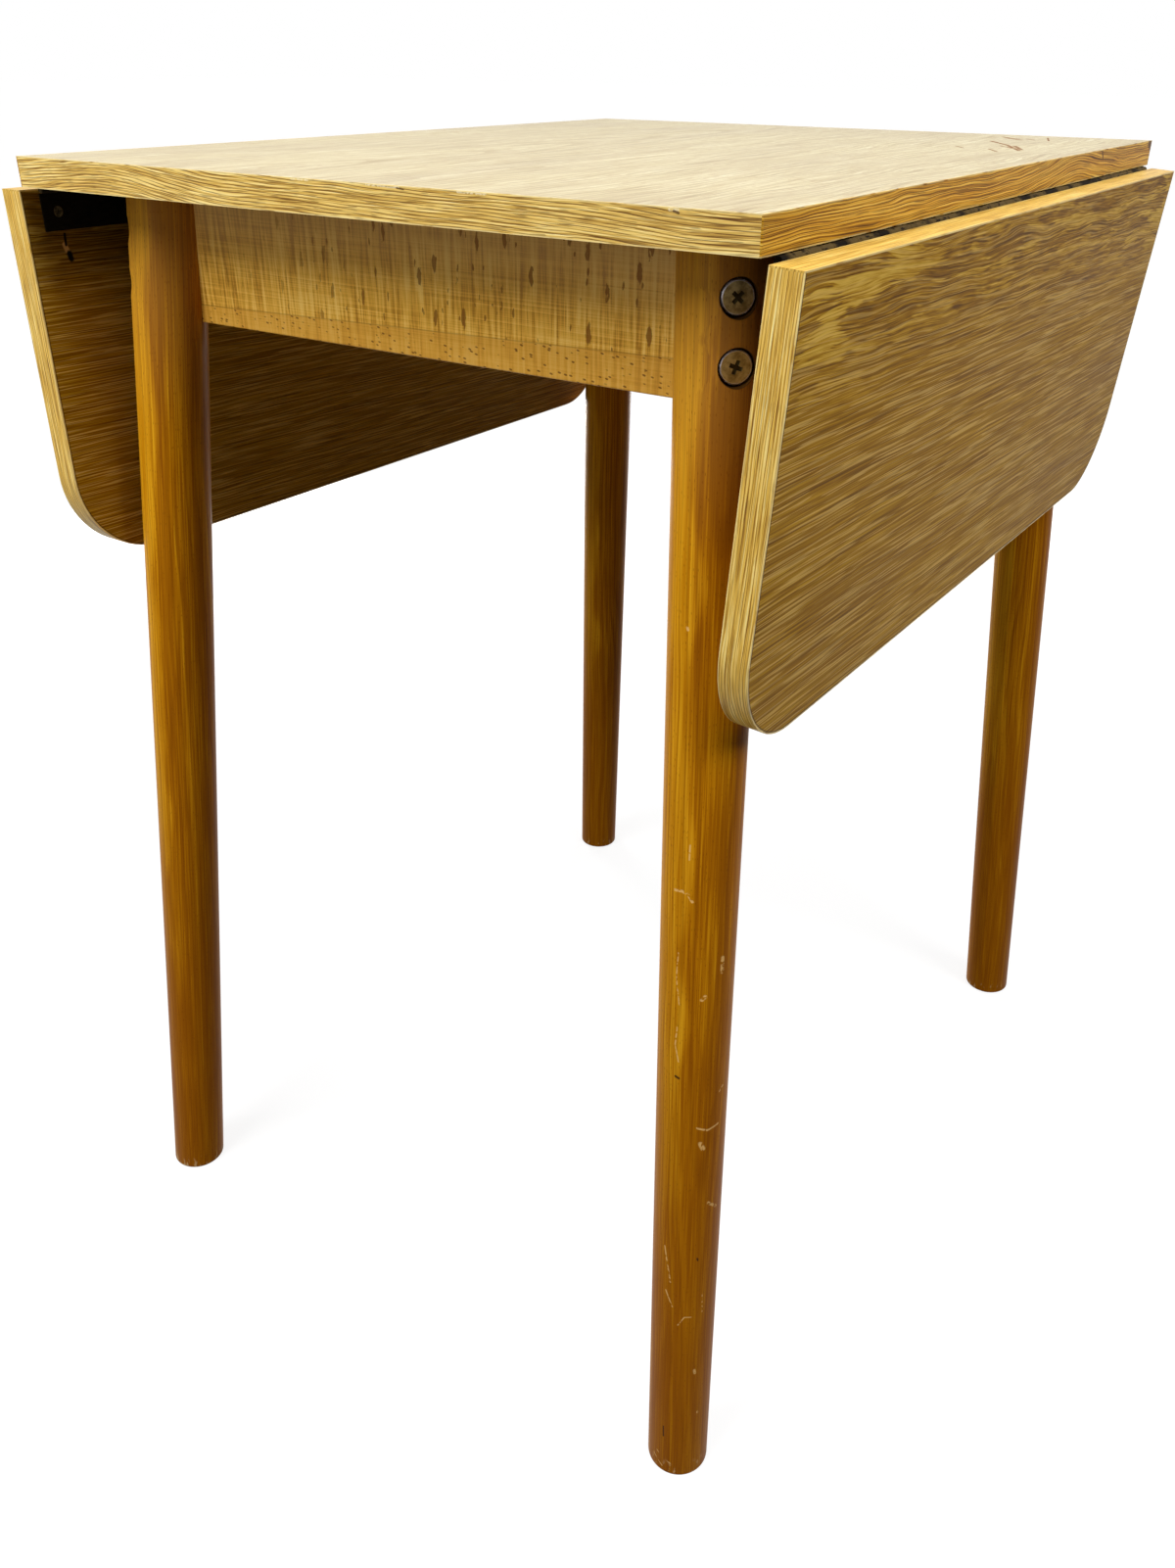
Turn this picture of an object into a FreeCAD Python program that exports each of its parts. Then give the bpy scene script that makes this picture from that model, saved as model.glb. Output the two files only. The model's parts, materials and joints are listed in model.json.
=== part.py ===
import FreeCAD, Part
import math
import os

# Drop-leaf table: a fixed top on a beech frame with four raking round legs, and a
# leaf on a continuous hinge along each long edge. Both leaves hang down. Two folding
# stays under each leaf hold it level when it is raised.
# Millimetres, +Z up, origin on the floor under the middle of the table. The hinges
# run along Y, the leaves are at +X (right) and -X (left), the front is at -Y.

Vector = FreeCAD.Vector
ORIGIN = Vector(0, 0, 0)
ACROSS = Vector(1, 0, 0)
ALONG = Vector(0, 1, 0)
UP = Vector(0, 0, 1)
OUTWARD = Vector(1, 1, 0).normalize()       # level, out of a corner of the frame
SIDES = {"right": 1, "left": -1}
ENDS = {"front": -1, "back": 1}

# ---- driving dimensions ----------------------------------------------------------
table_height = 740.0
board_thickness = 15.4        # chipboard with an oak-effect foil on both faces
top_width = 456.0             # fixed top, across the hinges
top_length = 580.0            # fixed top and leaves, along the hinges
leaf_width = 217.2
leaf_corner_radius = 55.0
leaf_gap = 0.8                # between the top and a level leaf
band_thickness = 0.8          # edge band on every board

right_leg_gap = 0.8           # between the legs and the lower edge of each hanging leaf
left_leg_gap = 15.2

frame_width = 361.0           # outside faces of the side rails
frame_length = 461.0          # outside faces of the end aprons
rail_thickness = 20.0
rail_height = 73.0
rail_edge_ease = 1.0          # eased lower edges of the aprons and rails

leg_top_radius = 21.75
leg_foot_radius = 19.0
leg_spread_x = 49.0           # how far each foot stands outside its leg's top
leg_spread_y = 65.0
foot_ease = 1.6

block_leg = 60.0              # corner block, along each rail
block_height = 60.0
dowel_radius = 4.0
dowel_length = 28.0
dowel_top_drop = 9.6          # upper dowel's axis, below the rail's top edge
dowel_spacing = 55.0

bolt_radius = 3.0
bolt_clearance = 0.3
bolt_top_drop = 22.6          # upper leg bolt, below the underside of the top
bolt_spacing = 28.2
bolt_head_radius = 7.5
bolt_head_thickness = 2.4
bolt_head_ease = 0.5
bolt_head_recess = 2.2        # head's face, below the leg's surface
counterbore_gap = 1.0         # ring round the bolt head
bolt_tail = 2.0               # thread that stands out of the nut
upper_bolt_turn = 2.0         # how the cross in each head has come to stand
lower_bolt_turn = 25.0
washer_radius = 7.0
washer_thickness = 1.5
nut_flat_width = 10.0
nut_thickness = 5.0

hinge_axis_out = 1.2          # hinge axis, outside the edge of the fixed top
hinge_inset = 12.0            # from the ends of the top
knuckle_radius = 1.9
knuckle_count = 47
hinge_pin_radius = 1.0
hinge_fit = 0.05              # radial play of the pin
wing_reach = 22.0             # from the hinge axis
wing_thickness = 0.9
running_gap = 0.3             # between pieces that pass each other
hinge_tab_start = 0.7         # a knuckle's tab, from over the axis
hinge_screw_margin = 10.0
hinge_screw_count = 12        # in each wing

small_screw_radius = 1.5
small_screw_head_radius = 3.0
small_screw_head_depth = 1.5
hinge_screw_length = 11.0
stay_screw_length = 11.5

top_screw_radius = 2.0
top_screw_head_radius = 4.0
top_screw_head_height = 2.4
top_screw_bite = 11.0         # into the top
top_screw_pocket = 30.0       # depth of the pocket in the block
top_screw_pocket_radius = 5.5
top_screw_near = 14.0         # places on the block, from its two rail faces
top_screw_far = 34.0

stay_place = 150.0            # each stay, from the middle of the table
stay_thickness = 2.0
stay_arm_width = 10.0
stay_arm_difference = 16.0    # how much longer the rail arm is than the leaf arm
stay_slack = 0.2              # how far short of straight the raised arms stop
rail_pivot_inset = 20.0       # rail pivot, inside the hinge axis
rail_pivot_drop = 58.0        # and below it
leaf_pivot_reach = 42.0       # leaf pivot, out along the leaf from the hinge axis
leaf_pivot_drop = 9.2         # and below the underside of the level leaf
ear_radius = 5.5              # bracket round its pivot
rivet_radius = 2.5
rivet_fit = 0.05
rivet_head_radius = 4.0
rivet_head_height = 1.2
rivet_head_ease = 0.4
rivet_flush_radius = 3.6      # rivet's other end, flush in the arm
rivet_flush_depth = 1.1
bracket_plate_width = 26.0
rail_bracket_height = 34.0
rail_bracket_margin = 6.0     # above the rail's lower edge
leaf_bracket_length = 28.0
bracket_screw_spacing = 16.0

recess_length = 6.2           # cross recess of a leg bolt
recess_width = 1.9
recess_depth = 1.4
small_recess_length = 3.0     # cross recess of every other screw
small_recess_width = 0.7
small_recess_depth = 0.9

fit_gap = 0.05                # round every fixed screw, dowel and rivet
cut_over = 1.0                # how far a cutting solid runs past the face it cuts

# ---- places that follow from them --------------------------------------------------
underside = table_height - board_thickness
half_width = top_width / 2
half_length = top_length / 2
leaf_edge_x = half_width + leaf_gap

hinge_axis_drop = knuckle_radius + running_gap
hinge_axis = Vector(half_width + hinge_axis_out, 0, underside - hinge_axis_drop)
hinge_half_length = half_length - hinge_inset
wing_start = knuckle_radius + running_gap
wing_screw_line = (wing_start + wing_reach) / 2

frame_x = frame_width / 2
frame_y = frame_length / 2
inner_x = frame_x - rail_thickness
inner_y = frame_y - rail_thickness
rail_bottom = underside - rail_height
block_bottom = underside - block_height
block_face = rail_thickness * math.sqrt(2) + block_leg / math.sqrt(2)

rail_pivot = hinge_axis - Vector(rail_pivot_inset, 0, rail_pivot_drop)
leaf_pivot = Vector(hinge_axis.x + leaf_pivot_reach, 0, underside - leaf_pivot_drop)
stay_length = (leaf_pivot - rail_pivot).Length + stay_slack
rail_arm_length = (stay_length + stay_arm_difference) / 2
leaf_arm_length = (stay_length - stay_arm_difference) / 2
rivet_grip = 2 * stay_thickness + running_gap
plate_bottom = rail_bottom + rail_bracket_margin
plate_top = plate_bottom + rail_bracket_height


def hang_angle(leg_gap):
    """How far down from level a leaf hangs, if its lower inner edge stops short of the legs."""
    leg_flare = (leg_spread_x - leg_top_radius + leg_foot_radius) / underside
    leg_x = frame_x + leg_top_radius + leg_flare * hinge_axis_drop
    level_x = leaf_edge_x + leaf_width - hinge_axis.x
    across = level_x + leg_flare * hinge_axis_drop
    down = hinge_axis_drop - leg_flare * level_x
    inward = math.acos((leg_x + leg_gap - hinge_axis.x) / math.hypot(across, down))
    return math.degrees(math.atan2(down, across) + inward)


right_hang_angle = hang_angle(right_leg_gap)
left_hang_angle = hang_angle(left_leg_gap)


# ---- shapes used by many pieces ------------------------------------------------------
def box(low, high):
    size = high - low
    return Part.makeBox(size.x, size.y, size.z, low)


def rod(radius, start, end):
    return Part.makeCylinder(radius, (end - start).Length, start, end - start)


def face(corners):
    return Part.Face(Part.makePolygon(corners + [corners[0]]))


def turned(profile, place, direction):
    """A solid of revolution from (radius, distance along) corners."""
    section = face([Vector(radius, 0, along) for radius, along in profile])
    solid = section.revolve(ORIGIN, UP, 360)
    solid.Placement = FreeCAD.Placement(place, FreeCAD.Rotation(UP, direction))
    return solid


def cross(length, width, depth, turn, place, direction):
    """A cross recess, cut into a head whose face is at the place."""
    slot = Part.makeBox(length, width, depth, Vector(-length / 2, -width / 2, 0))
    slot.rotate(ORIGIN, UP, turn)
    other = slot.copy()
    other.rotate(ORIGIN, UP, 90)
    recess = slot.fuse(other)
    recess.Placement = FreeCAD.Placement(place, FreeCAD.Rotation(UP, direction))
    return recess


def countersunk_screw(place, direction, length):
    profile = [
        (0, 0),
        (small_screw_head_radius, 0),
        (small_screw_radius, small_screw_head_depth),
        (small_screw_radius, length - small_screw_radius),
        (0, length),
    ]
    screw = turned(profile, place, direction)
    recess = cross(
        small_recess_length, small_recess_width, small_recess_depth, 0, place, direction)
    return screw.cut(recess)


def countersunk_hole(place, direction, length):
    profile = [
        (0, -cut_over),
        (small_screw_head_radius + fit_gap, -cut_over),
        (small_screw_head_radius + fit_gap, 0),
        (small_screw_radius + fit_gap, small_screw_head_depth),
        (small_screw_radius + fit_gap, length + fit_gap),
        (0, length + fit_gap),
    ]
    return turned(profile, place, direction)


def copy_to(shape, side, end):
    """A shape made at +X and +Y, carried to another side and end of the table."""
    if side < 0:
        shape = shape.mirror(ORIGIN, ACROSS)
    if end < 0:
        shape = shape.mirror(ORIGIN, ALONG)
    return shape


def at_corners(shapes):
    return [copy_to(shape, side, end)
            for shape in shapes for side in SIDES.values() for end in ENDS.values()]


def at_ends(shapes):
    return [copy_to(shape, 1, end) for shape in shapes for end in ENDS.values()]


def at_sides(shapes):
    return [copy_to(shape, side, 1) for shape in shapes for side in SIDES.values()]


# ---- leg bolts, with their washers and nuts ------------------------------------------
def bolt_places():
    """Height and cross turn of the two bolts in each corner."""
    upper = underside - bolt_top_drop
    return [(upper, upper_bolt_turn), (upper - bolt_spacing, lower_bolt_turn)]


def leg_surface(height):
    """How far the leg's surface is from the frame's corner, level and outward."""
    drop = (underside - height) / underside
    offset = Vector(leg_spread_x * drop, leg_spread_y * drop, 0)
    radius = leg_top_radius - (leg_top_radius - leg_foot_radius) * drop
    along = offset.dot(OUTWARD)
    return along + math.sqrt(radius ** 2 - offset.dot(offset) + along ** 2)


def on_bolt_line(height, distance):
    return Vector(frame_x, frame_y, height) + OUTWARD * distance


def bolt_seat(height):
    return leg_surface(height) - bolt_head_recess - bolt_head_thickness


def bolt_hole(height):
    inside = on_bolt_line(height, -block_face - cut_over)
    seat = on_bolt_line(height, bolt_seat(height))
    outside = on_bolt_line(height, leg_surface(height) + leg_top_radius)
    hole = rod(bolt_radius + bolt_clearance, inside, seat)
    counterbore = rod(bolt_head_radius + counterbore_gap, seat, outside)
    return hole.fuse(counterbore)


def leg_bolt(height, turn):
    reach = block_face + washer_thickness + nut_thickness + bolt_tail
    head_face = on_bolt_line(height, bolt_seat(height) + bolt_head_thickness)
    length = bolt_head_thickness + bolt_seat(height) + reach
    profile = [
        (0, 0),
        (bolt_head_radius - bolt_head_ease, 0),
        (bolt_head_radius, bolt_head_ease),
        (bolt_head_radius, bolt_head_thickness),
        (bolt_radius, bolt_head_thickness),
        (bolt_radius, length),
        (0, length),
    ]
    bolt = turned(profile, head_face, -OUTWARD)
    return bolt.cut(cross(recess_length, recess_width, recess_depth, turn, head_face, -OUTWARD))


def washer(height):
    outer_face = on_bolt_line(height, -block_face)
    inner_face = on_bolt_line(height, -block_face - washer_thickness)
    disc = rod(washer_radius, outer_face, inner_face)
    return disc.cut(rod(bolt_radius + bolt_clearance, outer_face, inner_face))


def nut(height):
    start = on_bolt_line(height, -block_face - washer_thickness)
    corner_radius = nut_flat_width / math.sqrt(3)
    corners = [Vector(corner_radius * math.cos(math.radians(angle)),
                      corner_radius * math.sin(math.radians(angle)), 0)
               for angle in range(0, 360, 60)]
    hexagon = face(corners).extrude(UP * nut_thickness)
    hexagon.Placement = FreeCAD.Placement(start, FreeCAD.Rotation(UP, -OUTWARD))
    end = on_bolt_line(height, -block_face - washer_thickness - nut_thickness)
    return hexagon.cut(rod(bolt_radius + fit_gap, start, end))


def bolt_holes():
    return at_corners([bolt_hole(height) for height, turn in bolt_places()])


# ---- dowels between the aprons and the side rails --------------------------------------
def corner_dowels(play):
    axis_x = frame_x - rail_thickness / 2
    half = dowel_length / 2 + play
    upper = underside - dowel_top_drop
    return [rod(dowel_radius + play, Vector(axis_x, inner_y - half, height),
                Vector(axis_x, inner_y + half, height))
            for height in (upper, upper - dowel_spacing)]


# ---- screws that hold the top to the corner blocks --------------------------------------
def top_screw_places():
    places = [(top_screw_near, top_screw_far), (top_screw_far, top_screw_near)]
    return [Vector(inner_x - across, inner_y - along, block_bottom + top_screw_pocket)
            for across, along in places]


def top_screw(seat):
    head_face = seat - UP * top_screw_head_height
    length = top_screw_head_height + underside - seat.z + top_screw_bite
    profile = [
        (0, 0),
        (top_screw_head_radius, 0),
        (top_screw_head_radius, top_screw_head_height),
        (top_screw_radius, top_screw_head_height),
        (top_screw_radius, length - top_screw_radius),
        (0, length),
    ]
    screw = turned(profile, head_face, UP)
    recess = cross(small_recess_length, small_recess_width, small_recess_depth, 0, head_face, UP)
    return screw.cut(recess)


def top_screw_hole(seat):
    below = Vector(seat.x, seat.y, block_bottom - cut_over)
    end = Vector(seat.x, seat.y, underside + top_screw_bite + fit_gap)
    pocket = rod(top_screw_pocket_radius, below, seat)
    return pocket.fuse(rod(top_screw_radius + fit_gap, seat, end))


def top_screw_holes():
    return at_corners([top_screw_hole(seat) for seat in top_screw_places()])


# ---- the frame ---------------------------------------------------------------------------
def eased_rail(low, high):
    """A rail with its two long lower edges eased."""
    rail = box(low, high)
    length = max(high.x - low.x, high.y - low.y)
    lower_edges = [edge for edge in rail.Edges
                   if edge.BoundBox.ZMax < low.z + fit_gap and edge.Length > length - fit_gap]
    return rail.makeFillet(rail_edge_ease, lower_edges)


def end_apron():
    apron = eased_rail(Vector(-frame_x, inner_y, rail_bottom), Vector(frame_x, frame_y, underside))
    return apron.cut(bolt_holes() + at_corners(corner_dowels(fit_gap)))


def side_rail():
    rail = eased_rail(Vector(inner_x, -inner_y, rail_bottom), Vector(frame_x, inner_y, underside))
    holes = bolt_holes() + at_corners(corner_dowels(fit_gap)) + at_ends(rail_bracket_screw_holes())
    return rail.cut(holes)


def corner_block():
    height = UP * block_height
    corners = [
        Vector(inner_x, inner_y, block_bottom),
        Vector(inner_x - block_leg, inner_y, block_bottom),
        Vector(inner_x, inner_y - block_leg, block_bottom),
    ]
    return face(corners).extrude(height).cut(bolt_holes() + top_screw_holes())


def leg():
    """A tapered round leg, let in round the frame's corner and cut level at both ends."""
    top = Vector(frame_x, frame_y, underside)
    foot = Vector(frame_x + leg_spread_x, frame_y + leg_spread_y, 0)
    length = (foot - top).Length
    slope = (foot - top) / length
    over = leg_top_radius
    taper = (leg_top_radius - leg_foot_radius) / length * over
    cone = Part.makeCone(
        leg_top_radius + taper, leg_foot_radius - taper, length + 2 * over,
        top - slope * over, slope)
    level = cone.common(box(ORIGIN, Vector(top_width, top_length, underside)))
    rim = [edge for edge in level.Edges if edge.BoundBox.ZMax < fit_gap]
    eased = level.makeFillet(foot_ease, rim)
    notch = box(Vector(0, 0, rail_bottom), Vector(frame_x, frame_y, underside + cut_over))
    return eased.cut([notch] + bolt_holes())


# ---- boards and their edge bands ---------------------------------------------------------
def fixed_top():
    inset = Vector(band_thickness, band_thickness, 0)
    low = Vector(-half_width, -half_length, underside) + inset
    high = Vector(half_width, half_length, table_height) - inset
    holes = at_sides(hinge_screw_holes(-1)) + top_screw_holes()
    return box(low, high).cut(holes)


def top_side_band():
    return box(Vector(half_width - band_thickness, -half_length, underside),
               Vector(half_width, half_length, table_height))


def top_end_band():
    reach = half_width - band_thickness
    return box(Vector(-reach, half_length - band_thickness, underside),
               Vector(reach, half_length, table_height))


def leaf_board(inset):
    """The level leaf outside its hinge band, drawn in on its three outer sides."""
    hinge_x = leaf_edge_x + band_thickness
    outer_x = leaf_edge_x + leaf_width - inset
    side_y = half_length - inset
    radius = leaf_corner_radius - inset
    edges = [Part.makeLine(Vector(hinge_x, side_y, 0), Vector(hinge_x, -side_y, 0)),
             Part.makeLine(Vector(outer_x, radius - side_y, 0),
                           Vector(outer_x, side_y - radius, 0))]
    for end in ENDS.values():
        centre = Vector(outer_x - radius, end * (side_y - radius), 0)
        tangent = centre + ALONG * end * radius
        middle = centre + Vector(1, end, 0) * (radius / math.sqrt(2))
        edges.append(Part.makeLine(Vector(hinge_x, end * side_y, 0), tangent))
        edges.append(Part.Arc(tangent, middle, centre + ACROSS * radius).toShape())
    outline = Part.Wire(Part.__sortEdges__(edges))
    outline.translate(UP * underside)
    return Part.Face(outline).extrude(UP * board_thickness)


def leaf_panel():
    holes = hinge_screw_holes(1) + at_ends(leaf_bracket_screw_holes())
    return leaf_board(band_thickness).cut(holes)


def leaf_edge_band():
    return leaf_board(0).cut(leaf_board(band_thickness))


def leaf_hinge_band():
    return box(Vector(leaf_edge_x, -half_length, underside),
               Vector(leaf_edge_x + band_thickness, half_length, table_height))


# ---- continuous hinge: toward is -1 for the table's wing, 1 for the leaf's -----------------
def wing_strip(toward, near, far, start, end):
    """A flat piece of a wing, between two distances from the hinge axis."""
    reach = sorted([hinge_axis.x + toward * near, hinge_axis.x + toward * far])
    return box(Vector(reach[0], start, underside - wing_thickness),
               Vector(reach[1], end, underside))


def hinge_rod(radius, start, end):
    return rod(radius, hinge_axis + ALONG * start, hinge_axis + ALONG * end)


def hinge_wing(toward):
    """The table's wing holds every other knuckle, both ends among them."""
    pitch = 2 * hinge_half_length / knuckle_count
    pieces = []
    for number in range(0 if toward < 0 else 1, knuckle_count, 2):
        start = -hinge_half_length + number * pitch + running_gap / 2
        end = start + pitch - running_gap
        pieces.append(wing_strip(toward, hinge_tab_start, wing_start, start, end))
        pieces.append(hinge_rod(knuckle_radius, start, end))
    strip = wing_strip(toward, wing_start, wing_reach, -hinge_half_length, hinge_half_length)
    bore = hinge_rod(hinge_pin_radius + hinge_fit, -half_length, half_length)
    return strip.fuse(pieces).removeSplitter().cut([bore] + hinge_screw_holes(toward))


def hinge_pin():
    return hinge_rod(hinge_pin_radius, -hinge_half_length, hinge_half_length)


def hinge_screw_places(toward):
    """Screw heads lie flush in the wing, in one row along its middle."""
    first = hinge_screw_margin - hinge_half_length
    spacing = -2 * first / (hinge_screw_count - 1)
    row_x = hinge_axis.x + toward * wing_screw_line
    return [Vector(row_x, first + number * spacing, underside - wing_thickness)
            for number in range(hinge_screw_count)]


def hinge_screw_holes(toward):
    return [countersunk_hole(place, UP, hinge_screw_length)
            for place in hinge_screw_places(toward)]


def hinge_screws(toward):
    return [countersunk_screw(place, UP, hinge_screw_length)
            for place in hinge_screw_places(toward)]


# ---- folding stays -------------------------------------------------------------------------
# Each stay is four layers of strip side by side along Y: rail bracket's ear, rail arm,
# leaf arm, leaf bracket's ear. The arms fold up behind the hanging leaf.
RAIL_EAR, RAIL_ARM, LEAF_ARM, LEAF_EAR = range(4)


def layer_start(layer):
    return stay_place - layer * (stay_thickness + running_gap)


def layer_end(layer):
    return layer_start(layer) - stay_thickness


def strip_layer(outline, layer):
    """A flat outline at Y = 0, made a strip in one layer of the stay."""
    strip = outline.extrude(ALONG * -stay_thickness)
    strip.translate(ALONG * layer_start(layer))
    return strip


def pivot_rod(radius, pivot, start, end):
    return rod(radius, Vector(pivot.x, start, pivot.z), Vector(pivot.x, end, pivot.z))


def rail_bracket():
    ear = face([
        Vector(frame_x, 0, plate_bottom),
        Vector(rail_pivot.x, 0, rail_pivot.z - ear_radius),
        Vector(rail_pivot.x, 0, rail_pivot.z + ear_radius),
        Vector(frame_x, 0, plate_top),
    ])
    inner_y_face = layer_end(RAIL_EAR)
    plate = box(Vector(frame_x, inner_y_face, plate_bottom),
                Vector(frame_x + stay_thickness, inner_y_face + bracket_plate_width, plate_top))
    round_end = pivot_rod(ear_radius, rail_pivot, layer_start(RAIL_EAR), inner_y_face)
    bracket = plate.fuse([strip_layer(ear, RAIL_EAR), round_end]).removeSplitter()
    bore = pivot_rod(rivet_radius + fit_gap, rail_pivot, layer_start(RAIL_EAR), inner_y_face)
    return bracket.cut([bore] + rail_bracket_screw_holes())


def rail_bracket_screw_places():
    middle_y = stay_place + (bracket_plate_width - stay_thickness) / 2
    middle_z = (plate_bottom + plate_top) / 2
    return [Vector(frame_x + stay_thickness, middle_y, middle_z + way * bracket_screw_spacing / 2)
            for way in (-1, 1)]


def rail_bracket_screw_holes():
    return [countersunk_hole(place, -ACROSS, stay_screw_length)
            for place in rail_bracket_screw_places()]


def leaf_bracket():
    """For the level leaf."""
    half = leaf_bracket_length / 2
    ear = face([
        Vector(leaf_pivot.x - half, 0, underside),
        Vector(leaf_pivot.x - ear_radius, 0, leaf_pivot.z),
        Vector(leaf_pivot.x + ear_radius, 0, leaf_pivot.z),
        Vector(leaf_pivot.x + half, 0, underside),
    ])
    outer_y_face = layer_start(LEAF_EAR)
    plate = box(
        Vector(leaf_pivot.x - half, outer_y_face - bracket_plate_width, underside - stay_thickness),
        Vector(leaf_pivot.x + half, outer_y_face, underside))
    round_end = pivot_rod(ear_radius, leaf_pivot, outer_y_face, layer_end(LEAF_EAR))
    bracket = plate.fuse([strip_layer(ear, LEAF_EAR), round_end]).removeSplitter()
    bore = pivot_rod(rivet_radius + fit_gap, leaf_pivot, outer_y_face, layer_end(LEAF_EAR))
    return bracket.cut([bore] + leaf_bracket_screw_holes())


def leaf_bracket_screw_places():
    middle_y = layer_start(LEAF_EAR) - (bracket_plate_width + stay_thickness) / 2
    return [Vector(leaf_pivot.x + way * bracket_screw_spacing / 2, middle_y,
                   underside - stay_thickness)
            for way in (-1, 1)]


def leaf_bracket_screw_holes():
    return [countersunk_hole(place, UP, stay_screw_length)
            for place in leaf_bracket_screw_places()]


def rivet(pivot, start, way):
    """A rivet along Y: its head sits tight on a bracket's ear, its end is flush in an arm."""
    end = rivet_head_height + rivet_grip
    profile = [
        (0, 0),
        (rivet_head_radius - rivet_head_ease, 0),
        (rivet_head_radius, rivet_head_ease),
        (rivet_head_radius, rivet_head_height),
        (rivet_radius, rivet_head_height),
        (rivet_radius, end - rivet_flush_depth),
        (rivet_flush_radius, end),
        (0, end),
    ]
    return turned(profile, Vector(pivot.x, start - way * rivet_head_height, pivot.z), ALONG * way)


def arm_hole(pivot, start, way):
    """The hole in an arm that the flush end of its rivet turns in."""
    profile = [
        (0, -cut_over),
        (rivet_radius + rivet_fit, -cut_over),
        (rivet_radius + rivet_fit, stay_thickness - rivet_flush_depth),
        (rivet_flush_radius + rivet_fit, stay_thickness),
        (rivet_flush_radius + rivet_fit, stay_thickness + cut_over),
        (0, stay_thickness + cut_over),
    ]
    return turned(profile, Vector(pivot.x, start, pivot.z), ALONG * way)


def rail_rivet():
    return rivet(rail_pivot, layer_start(RAIL_EAR), -1)


def leaf_rivet():
    return rivet(leaf_pivot, layer_end(LEAF_EAR), 1)


def swung(point, angle):
    """Where a point of the level leaf is when the leaf hangs at this angle."""
    return hinge_axis + FreeCAD.Rotation(ALONG, angle).multVec(point - hinge_axis)


def elbow(angle):
    """Where the two arms of a stay meet while the leaf hangs at this angle."""
    span = swung(leaf_pivot, angle) - rail_pivot
    along = rail_arm_length ** 2 - leaf_arm_length ** 2 + span.Length ** 2
    along = along / (2 * span.Length)
    rise = math.sqrt(rail_arm_length ** 2 - along ** 2)
    direction = span / span.Length
    return rail_pivot + direction * along + Vector(-direction.z, 0, direction.x) * rise


def arm_outline(start, end):
    radius = stay_arm_width / 2
    direction = (end - start) / (end - start).Length
    across = Vector(-direction.z, 0, direction.x) * radius
    far = Part.Arc(end + across, end + direction * radius, end - across)
    near = Part.Arc(start - across, start - direction * radius, start + across)
    edges = [Part.makeLine(start + across, end + across), far.toShape(),
             Part.makeLine(end - across, start - across), near.toShape()]
    return Part.Face(Part.Wire(edges))


def stay_arm(pivot, joint, layer, outer_y, way):
    """A flat arm. Its outer side, on its bracket's side, carries half of the elbow rivet's head."""
    arm = strip_layer(arm_outline(pivot, joint), layer)
    head = pivot_rod(rivet_head_radius, joint, outer_y, outer_y - way * rivet_head_height)
    return arm.fuse(head).cut(arm_hole(pivot, outer_y, way))


def rail_arm(angle):
    return stay_arm(rail_pivot, elbow(angle), RAIL_ARM, layer_start(RAIL_ARM), -1)


def leaf_arm(angle):
    pivot = swung(leaf_pivot, angle)
    return stay_arm(pivot, elbow(angle), LEAF_ARM, layer_end(LEAF_ARM), 1)


# ---- writing the pieces ------------------------------------------------------------------
def save(node, *shapes):
    shape = shapes[0] if len(shapes) == 1 else Part.makeCompound(list(shapes))
    shape.exportStep("parts/" + node + ".step")


def save_top_and_frame():
    save("fixed_top", fixed_top())
    save("top_side_bands", *at_sides([top_side_band()]))
    save("top_end_bands", *at_ends([top_end_band()]))
    for end_name, end in ENDS.items():
        save("apron_" + end_name, copy_to(end_apron(), 1, end))
    for side_name, side in SIDES.items():
        save("side_rail_" + side_name, copy_to(side_rail(), side, 1))
    save("rail_dowels", *at_corners(corner_dowels(0)))
    save("top_fixing_screws", *at_corners([top_screw(seat) for seat in top_screw_places()]))


def save_corners():
    for end_name, end in ENDS.items():
        for side_name, side in SIDES.items():
            corner = end_name + "_" + side_name
            save("leg_" + corner, copy_to(leg(), side, end))
            save("corner_block_" + corner, copy_to(corner_block(), side, end))
    bolts = [leg_bolt(height, turn) for height, turn in bolt_places()]
    save("leg_bolts", *at_corners(bolts))
    save("leg_bolt_washers", *at_corners([washer(height) for height, turn in bolt_places()]))
    save("leg_bolt_nuts", *at_corners([nut(height) for height, turn in bolt_places()]))


def save_table_side(side_name, side):
    """What stays with the table on one side: hinge wing and pin, and the rail brackets."""
    screws = [copy_to(screw, side, 1) for screw in hinge_screws(-1)]
    save("hinge_top_wing_" + side_name, copy_to(hinge_wing(-1), side, 1))
    save("hinge_pin_" + side_name, copy_to(hinge_pin(), side, 1))
    save("hinge_top_screws_" + side_name, *screws)
    for end_name, end in ENDS.items():
        node = "stay_rail_bracket_" + side_name + "_" + end_name
        save(node, copy_to(rail_bracket(), side, end))


def save_rail_fasteners():
    screws = [countersunk_screw(place, -ACROSS, stay_screw_length)
              for place in rail_bracket_screw_places()]
    save("stay_rail_screws", *at_corners(screws))
    save("stay_rail_rivets", *at_corners([rail_rivet()]))


def hung(shape, side, end, angle):
    """A piece of the level right leaf, hung down and carried to its own side and end."""
    shape = shape.copy()
    shape.rotate(hinge_axis, ALONG, angle)
    return copy_to(shape, side, end)


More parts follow.
